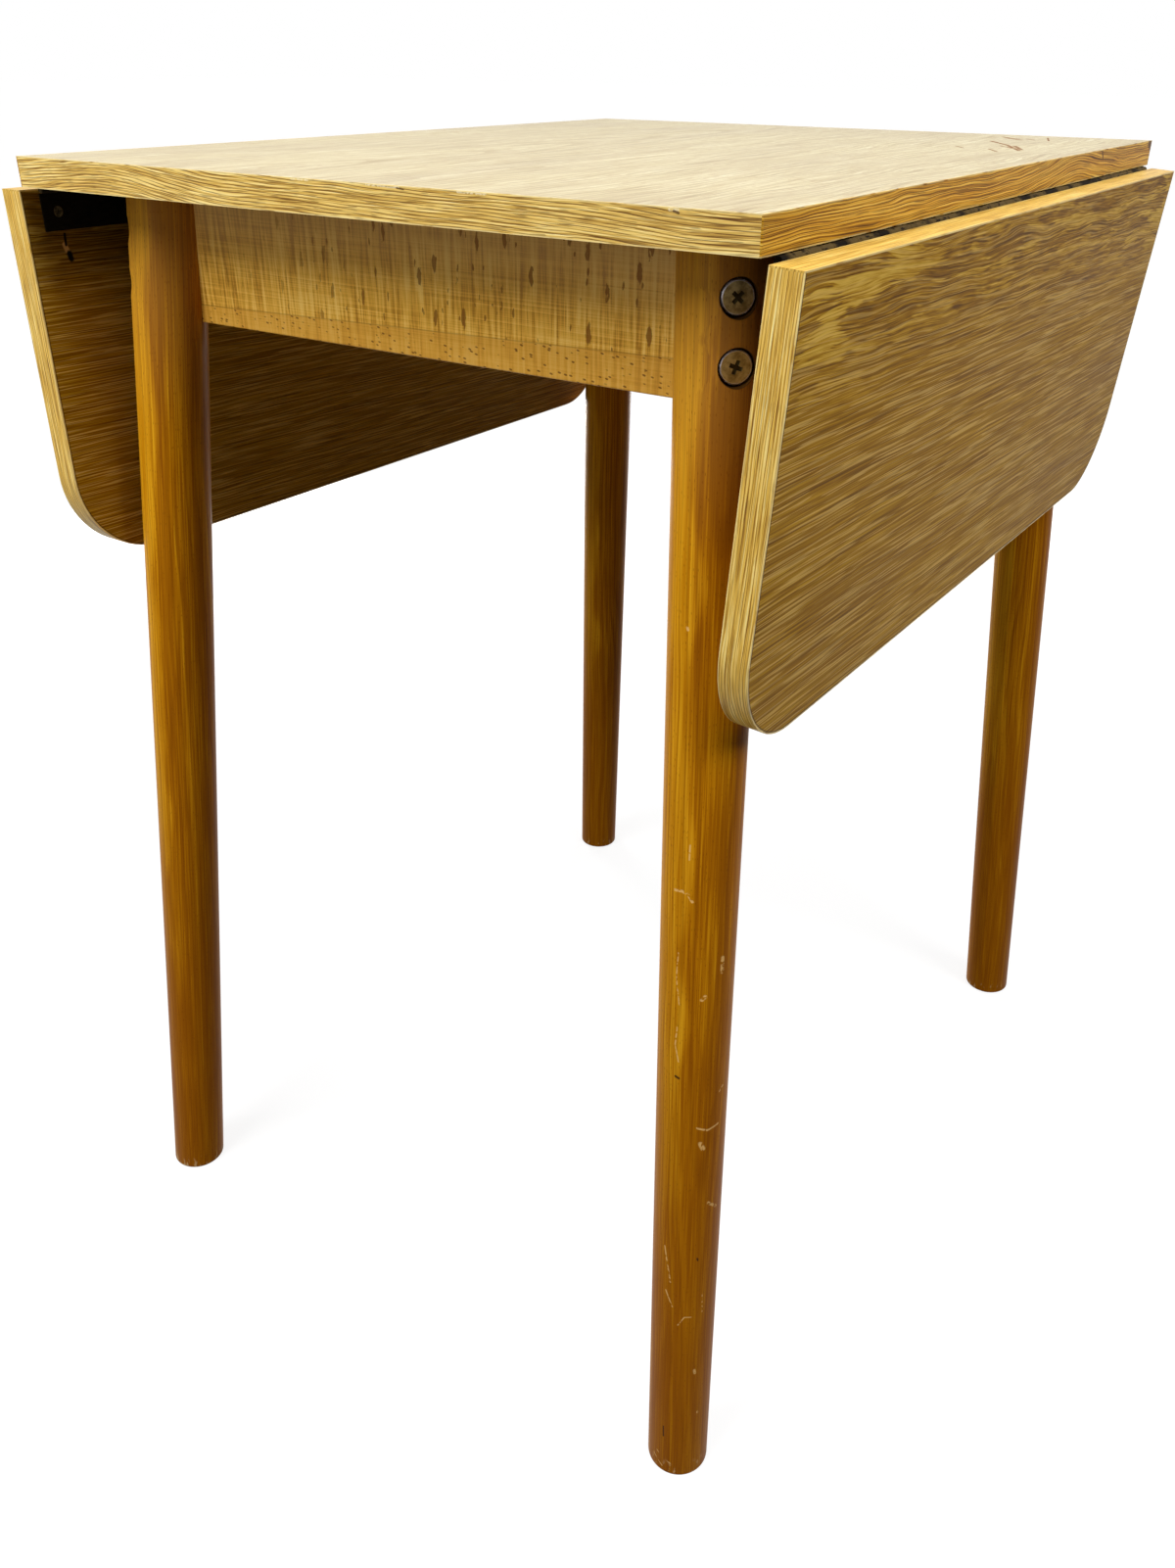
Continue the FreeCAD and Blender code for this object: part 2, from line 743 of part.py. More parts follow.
def save_leaf(side_name, side, angle):
    stay_screws = [countersunk_screw(place, UP, stay_screw_length)
                   for place in leaf_bracket_screw_places()]
    groups = {
        "leaf_panel_": [leaf_panel()],
        "leaf_edge_band_": [leaf_edge_band()],
        "leaf_hinge_band_": [leaf_hinge_band()],
        "hinge_leaf_wing_": [hinge_wing(1)],
        "hinge_leaf_screws_": hinge_screws(1),
        "stay_leaf_rivets_": at_ends([leaf_rivet()]),
        "stay_leaf_screws_": at_ends(stay_screws),
    }
    for name, shapes in groups.items():
        save(name + side_name, *[hung(shape, side, 1, angle) for shape in shapes])
    for end_name, end in ENDS.items():
        place = side_name + "_" + end_name
        save("stay_leaf_bracket_" + place, hung(leaf_bracket(), side, end, angle))
        save("stay_rail_arm_" + place, copy_to(rail_arm(angle), side, end))
        save("stay_leaf_arm_" + place, copy_to(leaf_arm(angle), side, end))


os.makedirs("parts", exist_ok=True)
save_top_and_frame()
save_corners()
save_rail_fasteners()
for side_name, side in SIDES.items():
    save_table_side(side_name, side)
save_leaf("right", 1, right_hang_angle)
save_leaf("left", -1, left_hang_angle)
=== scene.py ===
import json
import math
from functools import cache
from typing import NamedTuple

import bpy
from mathutils import Matrix, Vector
from mathutils.bvhtree import BVHTree


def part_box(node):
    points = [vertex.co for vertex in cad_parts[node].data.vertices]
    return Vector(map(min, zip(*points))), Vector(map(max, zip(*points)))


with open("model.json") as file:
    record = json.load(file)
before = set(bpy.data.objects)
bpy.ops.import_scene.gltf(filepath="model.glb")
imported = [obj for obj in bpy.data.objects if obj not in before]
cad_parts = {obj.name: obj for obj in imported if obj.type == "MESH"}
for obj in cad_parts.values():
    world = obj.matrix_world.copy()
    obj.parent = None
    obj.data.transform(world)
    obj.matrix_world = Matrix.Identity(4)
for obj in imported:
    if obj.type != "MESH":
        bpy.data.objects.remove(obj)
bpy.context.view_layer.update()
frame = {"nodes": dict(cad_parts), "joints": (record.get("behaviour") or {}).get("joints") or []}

# The drop-leaf table's looks: oak-effect foil and edge bands on the boards, lacquered
# beech for the frame and legs, bronzed bolt heads and dark hinges. Shaders work in
# millimetres, in the table's own frame at rest, and those of a leaf's boards in the same
# frame with the leaf turned level. Colours are written as 0 to 255 sRGB.

nodes = frame["nodes"]
joints = {joint["name"]: joint for joint in frame["joints"]}

MM = 0.001
SIDES = {"right": 1, "left": -1}
ENDS = {"front": -1, "back": 1}

# ---- the camera ----------------------------------------------------------------------
IMAGE_WIDTH = 1200
IMAGE_HEIGHT = 1601
CAMERA_PLACE = Vector((467.25, -757.52, 793.31)) * MM
CAMERA_YAW = math.radians(34.093)
CAMERA_PITCH = math.radians(-29.739)
CAMERA_ROLL = math.radians(0.457)
FOCAL_PIXELS = 1316.1     # focal length, in pixels of the image
SENSOR = 36.0             # the sensor's longer side, which is along the image's height


def camera_axes():
    """The camera's right, up and forward directions."""
    forward = Vector((-math.sin(CAMERA_YAW) * math.cos(CAMERA_PITCH),
                      math.cos(CAMERA_YAW) * math.cos(CAMERA_PITCH),
                      math.sin(CAMERA_PITCH)))
    level = Vector((math.cos(CAMERA_YAW), math.sin(CAMERA_YAW), 0.0))
    upright = level.cross(forward)
    right = level * math.cos(CAMERA_ROLL) + upright * math.sin(CAMERA_ROLL)
    up = upright * math.cos(CAMERA_ROLL) - level * math.sin(CAMERA_ROLL)
    return right, up, forward


def make_camera():
    """The photograph's camera."""
    data = bpy.data.cameras.new("camera")
    data.sensor_width = SENSOR
    data.lens = SENSOR * FOCAL_PIXELS / IMAGE_HEIGHT
    camera = bpy.data.objects.new("camera", data)
    right, up, forward = camera_axes()
    turn = Matrix((right, up, -forward)).transposed()
    camera.matrix_world = Matrix.Translation(CAMERA_PLACE) @ turn.to_4x4()
    bpy.context.scene.collection.objects.link(camera)
    bpy.context.scene.camera = camera


@cache
def surface_of(node):
    """A node's faces, to cast rays at."""
    mesh = nodes[node].data
    return BVHTree.FromPolygons([vertex.co for vertex in mesh.vertices],
                                [polygon.vertices for polygon in mesh.polygons])


def seen_at(node, pixel):
    """The point of a node, in millimetres, that the camera sees at a pixel."""
    right, up, forward = camera_axes()
    across = (pixel[0] - IMAGE_WIDTH / 2) / FOCAL_PIXELS
    down = (pixel[1] - IMAGE_HEIGHT / 2) / FOCAL_PIXELS
    ray = (forward + right * across - up * down).normalized()
    point = surface_of(node).ray_cast(CAMERA_PLACE, ray)[0]
    if point is None:
        raise ValueError(f"no part of {node} is at pixel {pixel}")
    return point / MM


# ---- sizes of the boards, legs and metal, in millimetres -------------------------------
BOARD_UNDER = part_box("fixed_top")[0].z / MM
BOARD_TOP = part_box("fixed_top")[1].z / MM
TOP_HALF_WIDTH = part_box("fixed_top")[1].x / MM
TOP_HALF_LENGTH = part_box("fixed_top")[1].y / MM
LEAF_START = 228.8        # hinge edge of a level leaf, from the middle of the table
LEAF_WIDTH = 217.2
LEAF_CORNER = 55.0        # radius of a leaf's outer corners
LEAF_STRAIGHT = LEAF_WIDTH - LEAF_CORNER
BAND_THICKNESS = 0.8
FOOT_RADIUS = 19.0
LEG_TOP_RADIUS = 21.75
GLUE_LINE = 665.7         # height of the glue line in the rails, at their middle
GLUE_LINE_SLOPE = 0.025
KNUCKLE_RADIUS = 1.9
BOLT_RADIUS = 7.5         # of a leg bolt's head
BORE_RADIUS = 8.5         # of the counterbore round it
BORE_SHADE_FADE = (BORE_RADIUS + 0.3, BORE_RADIUS - 0.1)             # painted shade in the counterbore: light outside, dark inside
KNUCKLE_FADE = (KNUCKLE_RADIUS + 0.6, KNUCKLE_RADIUS + 0.2)    # bare steel inside

# ---- marks of use: the photograph's pixels along each, and a width in millimetres -----
TOP_SCRATCHES = (
    (((1025, 140), (1042, 143)), 3.0),
    (((1028, 141), (1043, 143)), 2.6),
    (((1012, 144), (1028, 148), (1041, 154)), 2.6),
    (((1022, 149), (1037, 152)), 1.8),
    (((1036, 149), (1043, 153)), 2.6),
    (((1037, 141.5), (1044, 141)), 1.8),
    (((1049, 142), (1056, 143)), 2.2),
    (((1010, 152), (1018, 155)), 1.6),
    (((1070, 141), (1071, 144)), 1.2),
    (((976, 149), (984, 151)), 1.4),
)
TOP_PALE_LINES = (
    (((557, 170), (690, 156)), 1.6),
    (((430, 182), (520, 172)), 1.4),
    (((590, 184), (640, 178)), 1.2),
)
NEAR_LEG_PALE = (
    (((688, 908), (697, 910), (703, 914), (707, 921)), 1.5),
    (((692.8, 973), (690.7, 998), (693.6, 1026)), 0.7),
    (((691.5, 1049), (689.5, 1066), (692.8, 1084)), 0.8),
    (((717, 1021), (720, 1018)), 2.2),
    (((738, 978), (737.5, 992)), 2.2),
    (((735, 1114), (738, 1108)), 1.2),
    (((712, 1152), (722, 1154), (733, 1147)), 1.3),
    (((715, 1168), (718, 1173)), 2.6),
    (((723, 1228), (731, 1231)), 1.8),
    (((679, 1272), (684.5, 1309)), 1.0),
    (((680, 1317), (686.5, 1334)), 0.9),
    (((692, 1353), (699, 1345), (706, 1345)), 0.7),
    (((717, 1321), (717, 1339)), 0.8),
    (((709, 1399), (709.6, 1402)), 1.7),
    (((712, 1441), (712.6, 1443)), 1.4),
    (((671, 1480), (684, 1494)), 0.9),
    (((668, 1482), (676, 1496)), 0.8),
    (((705, 861), (704, 878)), 0.8),
    (((702, 641), (702.6, 643)), 1.4),
)
NEAR_LEG_DARK = (
    (((690, 1099), (693, 1101)), 1.6),
    (((677.4, 1456), (677.4, 1466)), 0.9),
    (((712, 1285), (712.5, 1287)), 1.0),
)
LEG_MARKS = {"leg_front_right": (NEAR_LEG_PALE, NEAR_LEG_DARK)}
TORN_FOIL = (
    (((66, 250), (69, 256)), 3.0),
    (((69, 254), (71, 259)), 2.0),
)
# drawn near black: the dark inside the hole and its crack is painted shade
OLD_SCREW_HOLE = (
    (((66, 239), (67.5, 250)), 1.6),
    (((71, 259), (73, 264)), 3.6),
)
LEAF_TEARS = {"leaf_panel_left": (TORN_FOIL, OLD_SCREW_HOLE)}
FRONT_CHIPS = (
    (((297, 182.5), (314, 184)), 0.8),
    (((374, 188.5), (407, 191.5)), 0.9),
    (((467, 196), (496, 198.5)), 0.9),
    (((684, 213.5), (692, 214.5)), 1.4),
)
FRONT_NICKS = (
    (((688, 215.5), (693, 217.5)), 1.0),
    (((405, 192), (412, 193.5)), 0.7),
)
SIDE_NICKS = (
    (((1126, 155), (1126.5, 161)), 2.0),
    (((1174, 145.5), (1175, 149)), 6.0),
)
BAND_MARKS = {"top_end_bands": (FRONT_CHIPS, FRONT_NICKS), "top_side_bands": ((), SIDE_NICKS)}


# ---- shader arithmetic ---------------------------------------------------------------
class Value:
    """A number that shader nodes work out, with the usual arithmetic."""

    def __init__(self, tree, socket):
        self.tree = tree
        self.socket = socket

    def __add__(self, other):
        return calculate(self.tree, "ADD", self, other)

    __radd__ = __add__

    def __sub__(self, other):
        return calculate(self.tree, "SUBTRACT", self, other)

    def __rsub__(self, other):
        return calculate(self.tree, "SUBTRACT", other, self)

    def __mul__(self, other):
        return calculate(self.tree, "MULTIPLY", self, other)

    __rmul__ = __mul__

    def __truediv__(self, other):
        return calculate(self.tree, "DIVIDE", self, other)


def feed(tree, socket, value):
    """Links a value to a socket, or sets the socket to a plain one."""
    if isinstance(value, Value):
        tree.links.new(value.socket, socket)
    elif isinstance(value, bpy.types.NodeSocket):
        tree.links.new(value, socket)
    else:
        socket.default_value = value


def calculate(tree, operation, *terms):
    """What a Math node makes of its terms."""
    node = tree.nodes.new("ShaderNodeMath")
    node.operation = operation
    for socket, term in zip(node.inputs, terms):
        feed(tree, socket, term)
    return Value(tree, node.outputs[0])


def largest(first, *others):
    """The largest of some values, of which the first isn't a plain number."""
    for other in others:
        first = calculate(first.tree, "MAXIMUM", first, other)
    return first


def smallest(first, other):
    """The smaller of a value and another one or a plain number."""
    return calculate(first.tree, "MINIMUM", first, other)


def size_of(value):
    """A value without its sign."""
    return calculate(value.tree, "ABSOLUTE", value)


def diagonal(first, second):
    """The length of the diagonal whose two sides are given."""
    return calculate(first.tree, "SQRT", first * first + second * second)


def wave(value):
    """A smooth wave from 0 to 1 and back, once for each whole number."""
    return calculate(value.tree, "SINE", value * (2 * math.pi)) * 0.5 + 0.5


def swing(value, amount):
    """A value from 0 to 1 as one that swings by the amount, about 0."""
    return (value - 0.5) * amount


def ramp(value, low, high, start=0.0, end=1.0):
    """Goes smoothly from start to end as the value goes from low to high."""
    node = value.tree.nodes.new("ShaderNodeMapRange")
    node.interpolation_type = "SMOOTHSTEP"
    for name, term in (("Value", value), ("From Min", low), ("From Max", high),
                       ("To Min", start), ("To Max", end)):
        feed(value.tree, node.inputs[name], term)
    return Value(value.tree, node.outputs["Result"])


def place_of(tree):
    """The shaded point in millimetres, in the table's frame at rest."""
    coordinates = tree.nodes.new("ShaderNodeTexCoord")
    scaled = tree.nodes.new("ShaderNodeVectorMath")
    scaled.operation = "SCALE"
    tree.links.new(coordinates.outputs["Object"], scaled.inputs[0])
    scaled.inputs["Scale"].default_value = 1 / MM
    return scaled.outputs[0]


def parts_of(tree, vector):
    """A vector's three parts."""
    node = tree.nodes.new("ShaderNodeSeparateXYZ")
    tree.links.new(vector, node.inputs[0])
    return [Value(tree, socket) for socket in node.outputs]


def joined(x, y, z):
    """Three parts as a vector. The first isn't a plain number."""
    node = x.tree.nodes.new("ShaderNodeCombineXYZ")
    for socket, part in zip(node.inputs, (x, y, z)):
        feed(x.tree, socket, part)
    return node.outputs[0]


def noise(parts, sizes, seed=0.0, detail=2.0, roughness=0.5):
    """Smooth noise, mostly 0.3 to 0.7, that changes over about a size along each part.

    With two parts it is flat, and each seed gives another one.
    """
    x, y, *deep = (part / size for part, size in zip(parts, sizes))
    z = deep[0] + seed if deep else seed
    node = x.tree.nodes.new("ShaderNodeTexNoise")
    node.inputs["Scale"].default_value = 1.0
    node.inputs["Detail"].default_value = detail
    node.inputs["Roughness"].default_value = roughness
    x.tree.links.new(joined(x, y, z), node.inputs["Vector"])
    return Value(x.tree, node.outputs[0])


def cells(parts, sizes, seed, wobble=0.0):
    """Distance to the middle of the nearest random cell, and that cell's random number.

    Cells are about a size apart along each part, and a wobble bends their outlines.
    """
    x, y, z = (part / size for part, size in zip(parts, sizes))
    node = x.tree.nodes.new("ShaderNodeTexVoronoi")
    node.inputs["Scale"].default_value = 1.0
    x.tree.links.new(joined(x + wobble, y + wobble, z + seed), node.inputs["Vector"])
    chance = parts_of(x.tree, node.outputs["Color"])[0]
    return Value(x.tree, node.outputs["Distance"]), chance


# ---- colours and materials -----------------------------------------------------------
MIX_INPUTS = (0, 6, 7)    # a Mix node's sockets for its factor and its two colours
MIX_OUTPUT = 2            # and for the colour that it makes


class Cover(NamedTuple):
    """A colour that is laid over others, and how much of them it covers, from 0 to 1."""
    shade: tuple
    strength: float


def colour(red, green, blue):
    """An sRGB colour of 0 to 255 as a linear one."""
    def linear(part):
        part = part / 255
        if part <= 0.04045:
            return part / 12.92
        return ((part + 0.055) / 1.055) ** 2.4
    return (linear(red), linear(green), linear(blue), 1.0)


def blend(factor, first, second):
    """From the first colour to the second as the factor goes from 0 to 1."""
    tree = factor.tree
    node = tree.nodes.new("ShaderNodeMix")
    node.data_type = "RGBA"
    for index, term in zip(MIX_INPUTS, (factor, first, second)):
        feed(tree, node.inputs[index], term)
    return node.outputs[MIX_OUTPUT]


def covered(tint, mask, cover):
    """The tint with a cover over it, where the mask is 1."""
    return blend(mask * cover.strength, tint, colour(*cover.shade))


def mottled(value, dark, light, low, high):
    """From dark to light as the value goes from low to high."""
    return blend(ramp(value, low, high), colour(*dark), colour(*light))


def palette(value, stops):
    """Colours in a row, spread over a value from 0 to 1."""
    node = value.tree.nodes.new("ShaderNodeValToRGB")
    elements = node.color_ramp.elements
    while len(elements) < len(stops):
        elements.new(0.5)
    for element, (position, shade) in zip(elements, stops):
        element.position = position
        element.color = colour(*shade)
    feed(value.tree, node.inputs[0], value)
    return node.outputs[0]


def start_material(name):
    """A material with only its shader and output, its node tree, and the shader."""
    material = bpy.data.materials.new(name)
    material.use_nodes = True
    tree = material.node_tree
    return material, tree, tree.nodes["Principled BSDF"]


def finish_material(shader, tint, rough, height, depth, metal=0.0, specular=0.5):
    """Links colour and roughness, and a height of the given depth in millimetres as bump."""
    tree = shader.id_data
    feed(tree, shader.inputs["Base Color"], tint)
    feed(tree, shader.inputs["Roughness"], rough)
    shader.inputs["Metallic"].default_value = metal
    shader.inputs["Specular IOR Level"].default_value = specular
    bump = tree.nodes.new("ShaderNodeBump")
    bump.inputs["Strength"].default_value = 1.0
    bump.inputs["Distance"].default_value = depth * MM
    feed(tree, bump.inputs["Height"], height)
    tree.links.new(bump.outputs[0], shader.inputs["Normal"])


# ---- strokes, for the marks of use ---------------------------------------------------
STROKE_CORE = 0.3         # a stroke is whole as far as this share of its width,
STROKE_FRINGE = 0.7       # and gone from this share on
NEXT_TO_NOTHING = 1e-6


def stroke_group():
    """A group that is 1 on a line from Start to End, as wide as Width, and 0 away from it."""
    group = bpy.data.node_groups.new("stroke", "ShaderNodeTree")
    for name, kind in (("Place", "NodeSocketVector"), ("Start", "NodeSocketVector"),
                       ("End", "NodeSocketVector"), ("Width", "NodeSocketFloat")):
        group.interface.new_socket(name, in_out="INPUT", socket_type=kind)
    group.interface.new_socket("Mask", in_out="OUTPUT", socket_type="NodeSocketFloat")
    entry = group.nodes.new("NodeGroupInput")
    result = group.nodes.new("NodeGroupOutput")

    def vectors(operation, first, second):
        node = group.nodes.new("ShaderNodeVectorMath")
        node.operation = operation
        group.links.new(first, node.inputs[0])
        group.links.new(second, node.inputs[1])
        return node

    out = vectors("SUBTRACT", entry.outputs["Place"], entry.outputs["Start"]).outputs[0]
    line = vectors("SUBTRACT", entry.outputs["End"], entry.outputs["Start"]).outputs[0]
    reach = Value(group, vectors("DOT_PRODUCT", out, line).outputs["Value"])
    length = Value(group, vectors("DOT_PRODUCT", line, line).outputs["Value"])
    share = smallest(largest(reach / largest(length, NEXT_TO_NOTHING), 0.0), 1.0)
    scaled = group.nodes.new("ShaderNodeVectorMath")
    scaled.operation = "SCALE"
    group.links.new(line, scaled.inputs[0])
    feed(group, scaled.inputs["Scale"], share)
    away = Value(group, vectors("DISTANCE", out, scaled.outputs[0]).outputs["Value"])
    width = Value(group, entry.outputs["Width"])
    mask = ramp(away, width * STROKE_FRINGE, width * STROKE_CORE)
    group.links.new(mask.socket, result.inputs["Mask"])
    return group


STROKE = stroke_group()


def stroke(tree, place, start, end, width):
    """The mask of one straight stroke, in millimetres."""
    node = tree.nodes.new("ShaderNodeGroup")
    node.node_tree = STROKE
    tree.links.new(place, node.inputs["Place"])
    node.inputs["Start"].default_value = start
    node.inputs["End"].default_value = end
    node.inputs["Width"].default_value = width
    return Value(tree, node.outputs["Mask"])


def marks_on(node, tree, marks):
    """The mask of marks, each a list of pixels along it and a width in millimetres."""
    place = place_of(tree)
    strokes = []
    for pixels, width in marks:
        points = [seen_at(node, pixel) for pixel in pixels]
        for start, end in zip(points, points[1:]):
            strokes.append(stroke(tree, place, start, end, width))
    return largest(*strokes)


# ---- oak-effect foil and edge bands --------------------------------------------------
# the top and the leaves have one oak foil: the top's tones are its lit copy, paler with painted
# sheen
TOP_SHEEN_TONES = ((0.0, (138, 114, 58)), (0.36, (172, 154, 103)), (0.64, (188, 173, 127)),
              (1.0, (204, 195, 158)))
TOP_PORE = Cover((150, 118, 60), 0.6)
TOP_SCRATCH = Cover((112, 60, 2), 0.9)
TOP_PALE_LINE = Cover((232, 222, 184), 0.6)
# the top's rim: wear, with a painted highlight along its edges
TOP_RIM_WEAR_AND_HIGHLIGHT = Cover((228, 214, 160), 0.6)
TOP_ROUGHNESS = 0.34
TOP_WEAR_AND_HIGHLIGHT_ACROSS = 1.7     # how far the rim's wear and painted highlight reach in from the long edges
TOP_WEAR_AND_HIGHLIGHT_ALONG = 1.6      # and from the short ones

# and the leaves' tones are its shaded copy, darker and more saturated as painted shade
FOIL_SHADED_TONES = ((0.0, (96, 60, 2)), (0.38, (150, 104, 10)), (0.62, (180, 134, 28)),
               (1.0, (216, 176, 74)))
FOIL_PALE_DASH = Cover((224, 184, 100), 0.6)
FOIL_DARK_DASH = Cover((92, 54, 4), 0.3)
# dirt near the hinge, darkened further as painted shade
FOIL_GRIME_AND_SHADE = Cover((46, 28, 8), 0.5)
FOIL_JOINT = Cover((66, 48, 26), 0.7)
FOIL_TORN = Cover((206, 160, 96), 0.9)
# painted shade inside the old screw hole and its crack
FOIL_HOLE_SHADE = Cover((14, 9, 5), 1.0)
FOIL_ROUGHNESS = 0.42
FOIL_RELIEF = 0.03        # height of the grain, in millimetres
LEAF_SEEDS = {"right": 9.0, "left": 5.0}
LEAF_SWIRL = {"right": 13.0, "left": 5.0}    # wander of the fibres near the hinge
LEAF_SWAY = 3.0           # wander of the fibres all over
LEAF_SLOPE = 0.018        # how far the grain runs off the leaf's length
LEAF_LAYER = 40.0         # depth over which the grain changes, through the board
LEAF_WILD_END = 15.0      # the swirling grain goes this far from the hinge edge,
LEAF_CALM_START = 80.0    # and the calm grain starts here
ISLANDS_WEAK = 110.0      # the pale islands have half their strength this near the middle,
ISLANDS_STRONG = 220.0    # and all of it this far along
GRIME_AND_SHADE_START = 60.0        # the hinge side of a leaf's under face gets dirt and painted shade from here
GRIME_AND_SHADE_FULL = 28.0
GRIME_AND_SHADE_DEPTH = 0.4         # how far up from the under face the dirt and painted shade show
JOINT_WIDTH = 1.1         # how far in from the band the foil's dark edge is seen
JOINT_CORE = 0.5

FRONT_SHADES = ((0.0, (96, 60, 14)), (0.38, (200, 158, 70)), (0.62, (234, 198, 106)),
                (1.0, (254, 232, 156)))
SIDE_SHADES = ((0.0, (78, 40, 4)), (0.38, (182, 128, 30)), (0.62, (212, 160, 48)),
               (1.0, (240, 200, 92)))
LEAF_SHADES = ((0.0, (104, 64, 12)), (0.38, (202, 156, 58)), (0.62, (236, 194, 90)),
               (1.0, (254, 236, 160)))
# the hinge band: a darker copy of the leaf bands' tones, as painted shade
HINGE_BAND_SHADED_TONES = ((0.0, (96, 58, 10)), (0.38, (188, 144, 52)), (0.62, (222, 182, 82)),
                (1.0, (244, 224, 150)))
# the pale edges of the bands: wear, with a painted highlight
BAND_EDGE_WEAR_AND_HIGHLIGHT = (238, 216, 150)
BAND_CHIP = Cover((246, 234, 196), 0.6)
BAND_NICK = Cover((74, 42, 12), 0.85)
BAND_ROUGHNESS = 0.42
BAND_RELIEF = 0.05
BAND_RINGS = {"axis": 640.0, "heart": 2.0, "spacing": 1.5}      # far off, so they are lines
EDGE_WEAR_AND_HIGHLIGHT = 0.8           # how far in from a band's edges the wear and painted highlight begin to show
EDGE_WEAR_AND_HIGHLIGHT_FULL = 0.25


class Figure(NamedTuple):
    """The figure of a band's grain, in millimetres."""
    climb: float          # how far along the band the next ring comes up
    sway: float           # how far the fibres wander,
    length: float         # over what length along the band,
    width: float          # and over what height
    crest: float          # where along the band the grain arches up,
    reach: float          # how far to each side of that,
    arch: float           # and how high
    run: float            # how long the long dashes are


FRONT_FIGURE = Figure(climb=40.0, sway=5.5, length=90.0, width=18.0, crest=-150.0, reach=90.0,
                      arch=7.0, run=24.0)
SIDE_FIGURE = Figure(climb=-150.0, sway=6.0, length=70.0, width=12.0, crest=115.0, reach=110.0,
                     arch=9.0, run=60.0)
CALM_FIGURE = Figure(climb=400.0, sway=3.0, length=90.0, width=12.0, crest=0.0, reach=100.0,
                     arch=0.0, run=22.0)


class BandLook(NamedTuple):
    """How an edge band looks where it isn't marked."""
    shades: tuple
    seed: float
    figure: Figure
    lines: float = 0.95   # strength of the dark lines
    threads: float = 1.5  # contrast of the fibres
    wear_and_painted_light: float = 0.7     # strength of the worn edges and their painted highlight
    specular: float = 0.2


FRONT_BAND = BandLook(FRONT_SHADES, 1.0, FRONT_FIGURE, lines=1.0, threads=2.5)
SIDE_BAND = BandLook(SIDE_SHADES, 4.0, SIDE_FIGURE, lines=1.0, threads=2.4, wear_and_painted_light=0.5,
                     specular=0.05)
ROUND_BAND = BandLook(LEAF_SHADES, 6.0, CALM_FIGURE, lines=0.6, threads=2.3, wear_and_painted_light=0.5)
HINGE_BAND = BandLook(HINGE_BAND_SHADED_TONES, 8.0, CALM_FIGURE, lines=0.3, wear_and_painted_light=0.4)


def board_place(tree, body):
    """Coordinates of a board as it lies level: along X, along Y and up, in millimetres."""
    place = place_of(tree)
    if body.startswith("leaf"):
        joint = joints[body + "_fold"]
        turn = tree.nodes.new("ShaderNodeVectorRotate")
        turn.rotation_type = "AXIS_ANGLE"
        turn.inputs["Center"].default_value = Vector(joint["pos_m"]) / MM
        turn.inputs["Axis"].default_value = joint["axis"]
        turn.inputs["Angle"].default_value = math.radians(joint["range_deg"][1])
        tree.links.new(place, turn.inputs["Vector"])
        place = turn.outputs[0]
    return place


def oak_flow(along, across, seed, sway, length, width):
    """The place across the grain, with the wander of the fibres added to it."""
    return across + swing(noise((along, across), (length, width), seed), sway)


def oak_rings(along, flow, axis, heart, spacing, climb):
    """How far each point is from one ring's dark line to the next, from 0 to 1.

    The rings are arches about the axis where the heart is wide, and lines far from it.
    """
    bow = diagonal(flow - axis, heart)
    return calculate(along.tree, "FRACT", bow / spacing + along / climb)


def dashes(along, flow, seed, length, width, low, high):
    """Broken short lines along the grain, 0 between them and 1 on them."""
    return ramp(noise((along, flow), (length, width), seed, detail=1.0), low, high)


def top_material():
    """The pale foil of the fixed top, with its scratches and scuffs. Its tones are the leaves'
    foil made paler, as painted sheen.
    """
    material, tree, shader = start_material("oak_foil_top")
    x, y, z = parts_of(tree, board_place(tree, "table"))
    flow = oak_flow(y, x, seed=3.0, sway=26.0, length=160.0, width=40.0)
    rings = oak_rings(y, flow, axis=-60.0, heart=60.0, spacing=4.6, climb=95.0)
    fibres = noise((y, flow), (55, 0.8), seed=5.0, detail=3.0, roughness=0.6)
    streaks = noise((y, flow), (110, 3.5), seed=7.0)
    clouds = noise((y, x), (240, 55), seed=9.0)
    tone = (0.55 - ramp(rings, 0.45, 0.0) * 0.3 + swing(fibres, 3.0) + swing(streaks, 1.2)
            + swing(clouds, 0.8))
    tint = palette(tone, TOP_SHEEN_TONES)
    pores = dashes(y, flow, seed=4.0, length=12.0, width=0.8, low=0.52, high=0.64)
    tint = covered(tint, pores, TOP_PORE)
    broken = ramp(noise((x, y, z), (3, 3, 1), detail=3.0), 0.32, 0.46)
    scratch = marks_on("fixed_top", tree, TOP_SCRATCHES) * broken
    tint = covered(tint, scratch, TOP_SCRATCH)
    tint = covered(tint, marks_on("fixed_top", tree, TOP_PALE_LINES), TOP_PALE_LINE)
    # wear and painted highlight along the top's rim
    rim = largest(ramp(size_of(x), TOP_HALF_WIDTH - TOP_WEAR_AND_HIGHLIGHT_ACROSS, TOP_HALF_WIDTH),
                  ramp(size_of(y), TOP_HALF_LENGTH - TOP_WEAR_AND_HIGHLIGHT_ALONG, TOP_HALF_LENGTH))
    chips = ramp(noise((x, y, z), (9, 9, 1), detail=4.0), 0.52, 0.6)
    tint = covered(tint, rim * chips, TOP_RIM_WEAR_AND_HIGHLIGHT)
    rough = TOP_ROUGHNESS + swing(clouds, 0.15) + scratch * 0.5
    finish_material(shader, tint, rough, fibres, FOIL_RELIEF)
    return material


def leaf_end_line(side):
    """How far from its middle a leaf's outer edge runs straight."""
    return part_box("leaf_edge_band_" + side)[1].y / MM - LEAF_CORNER


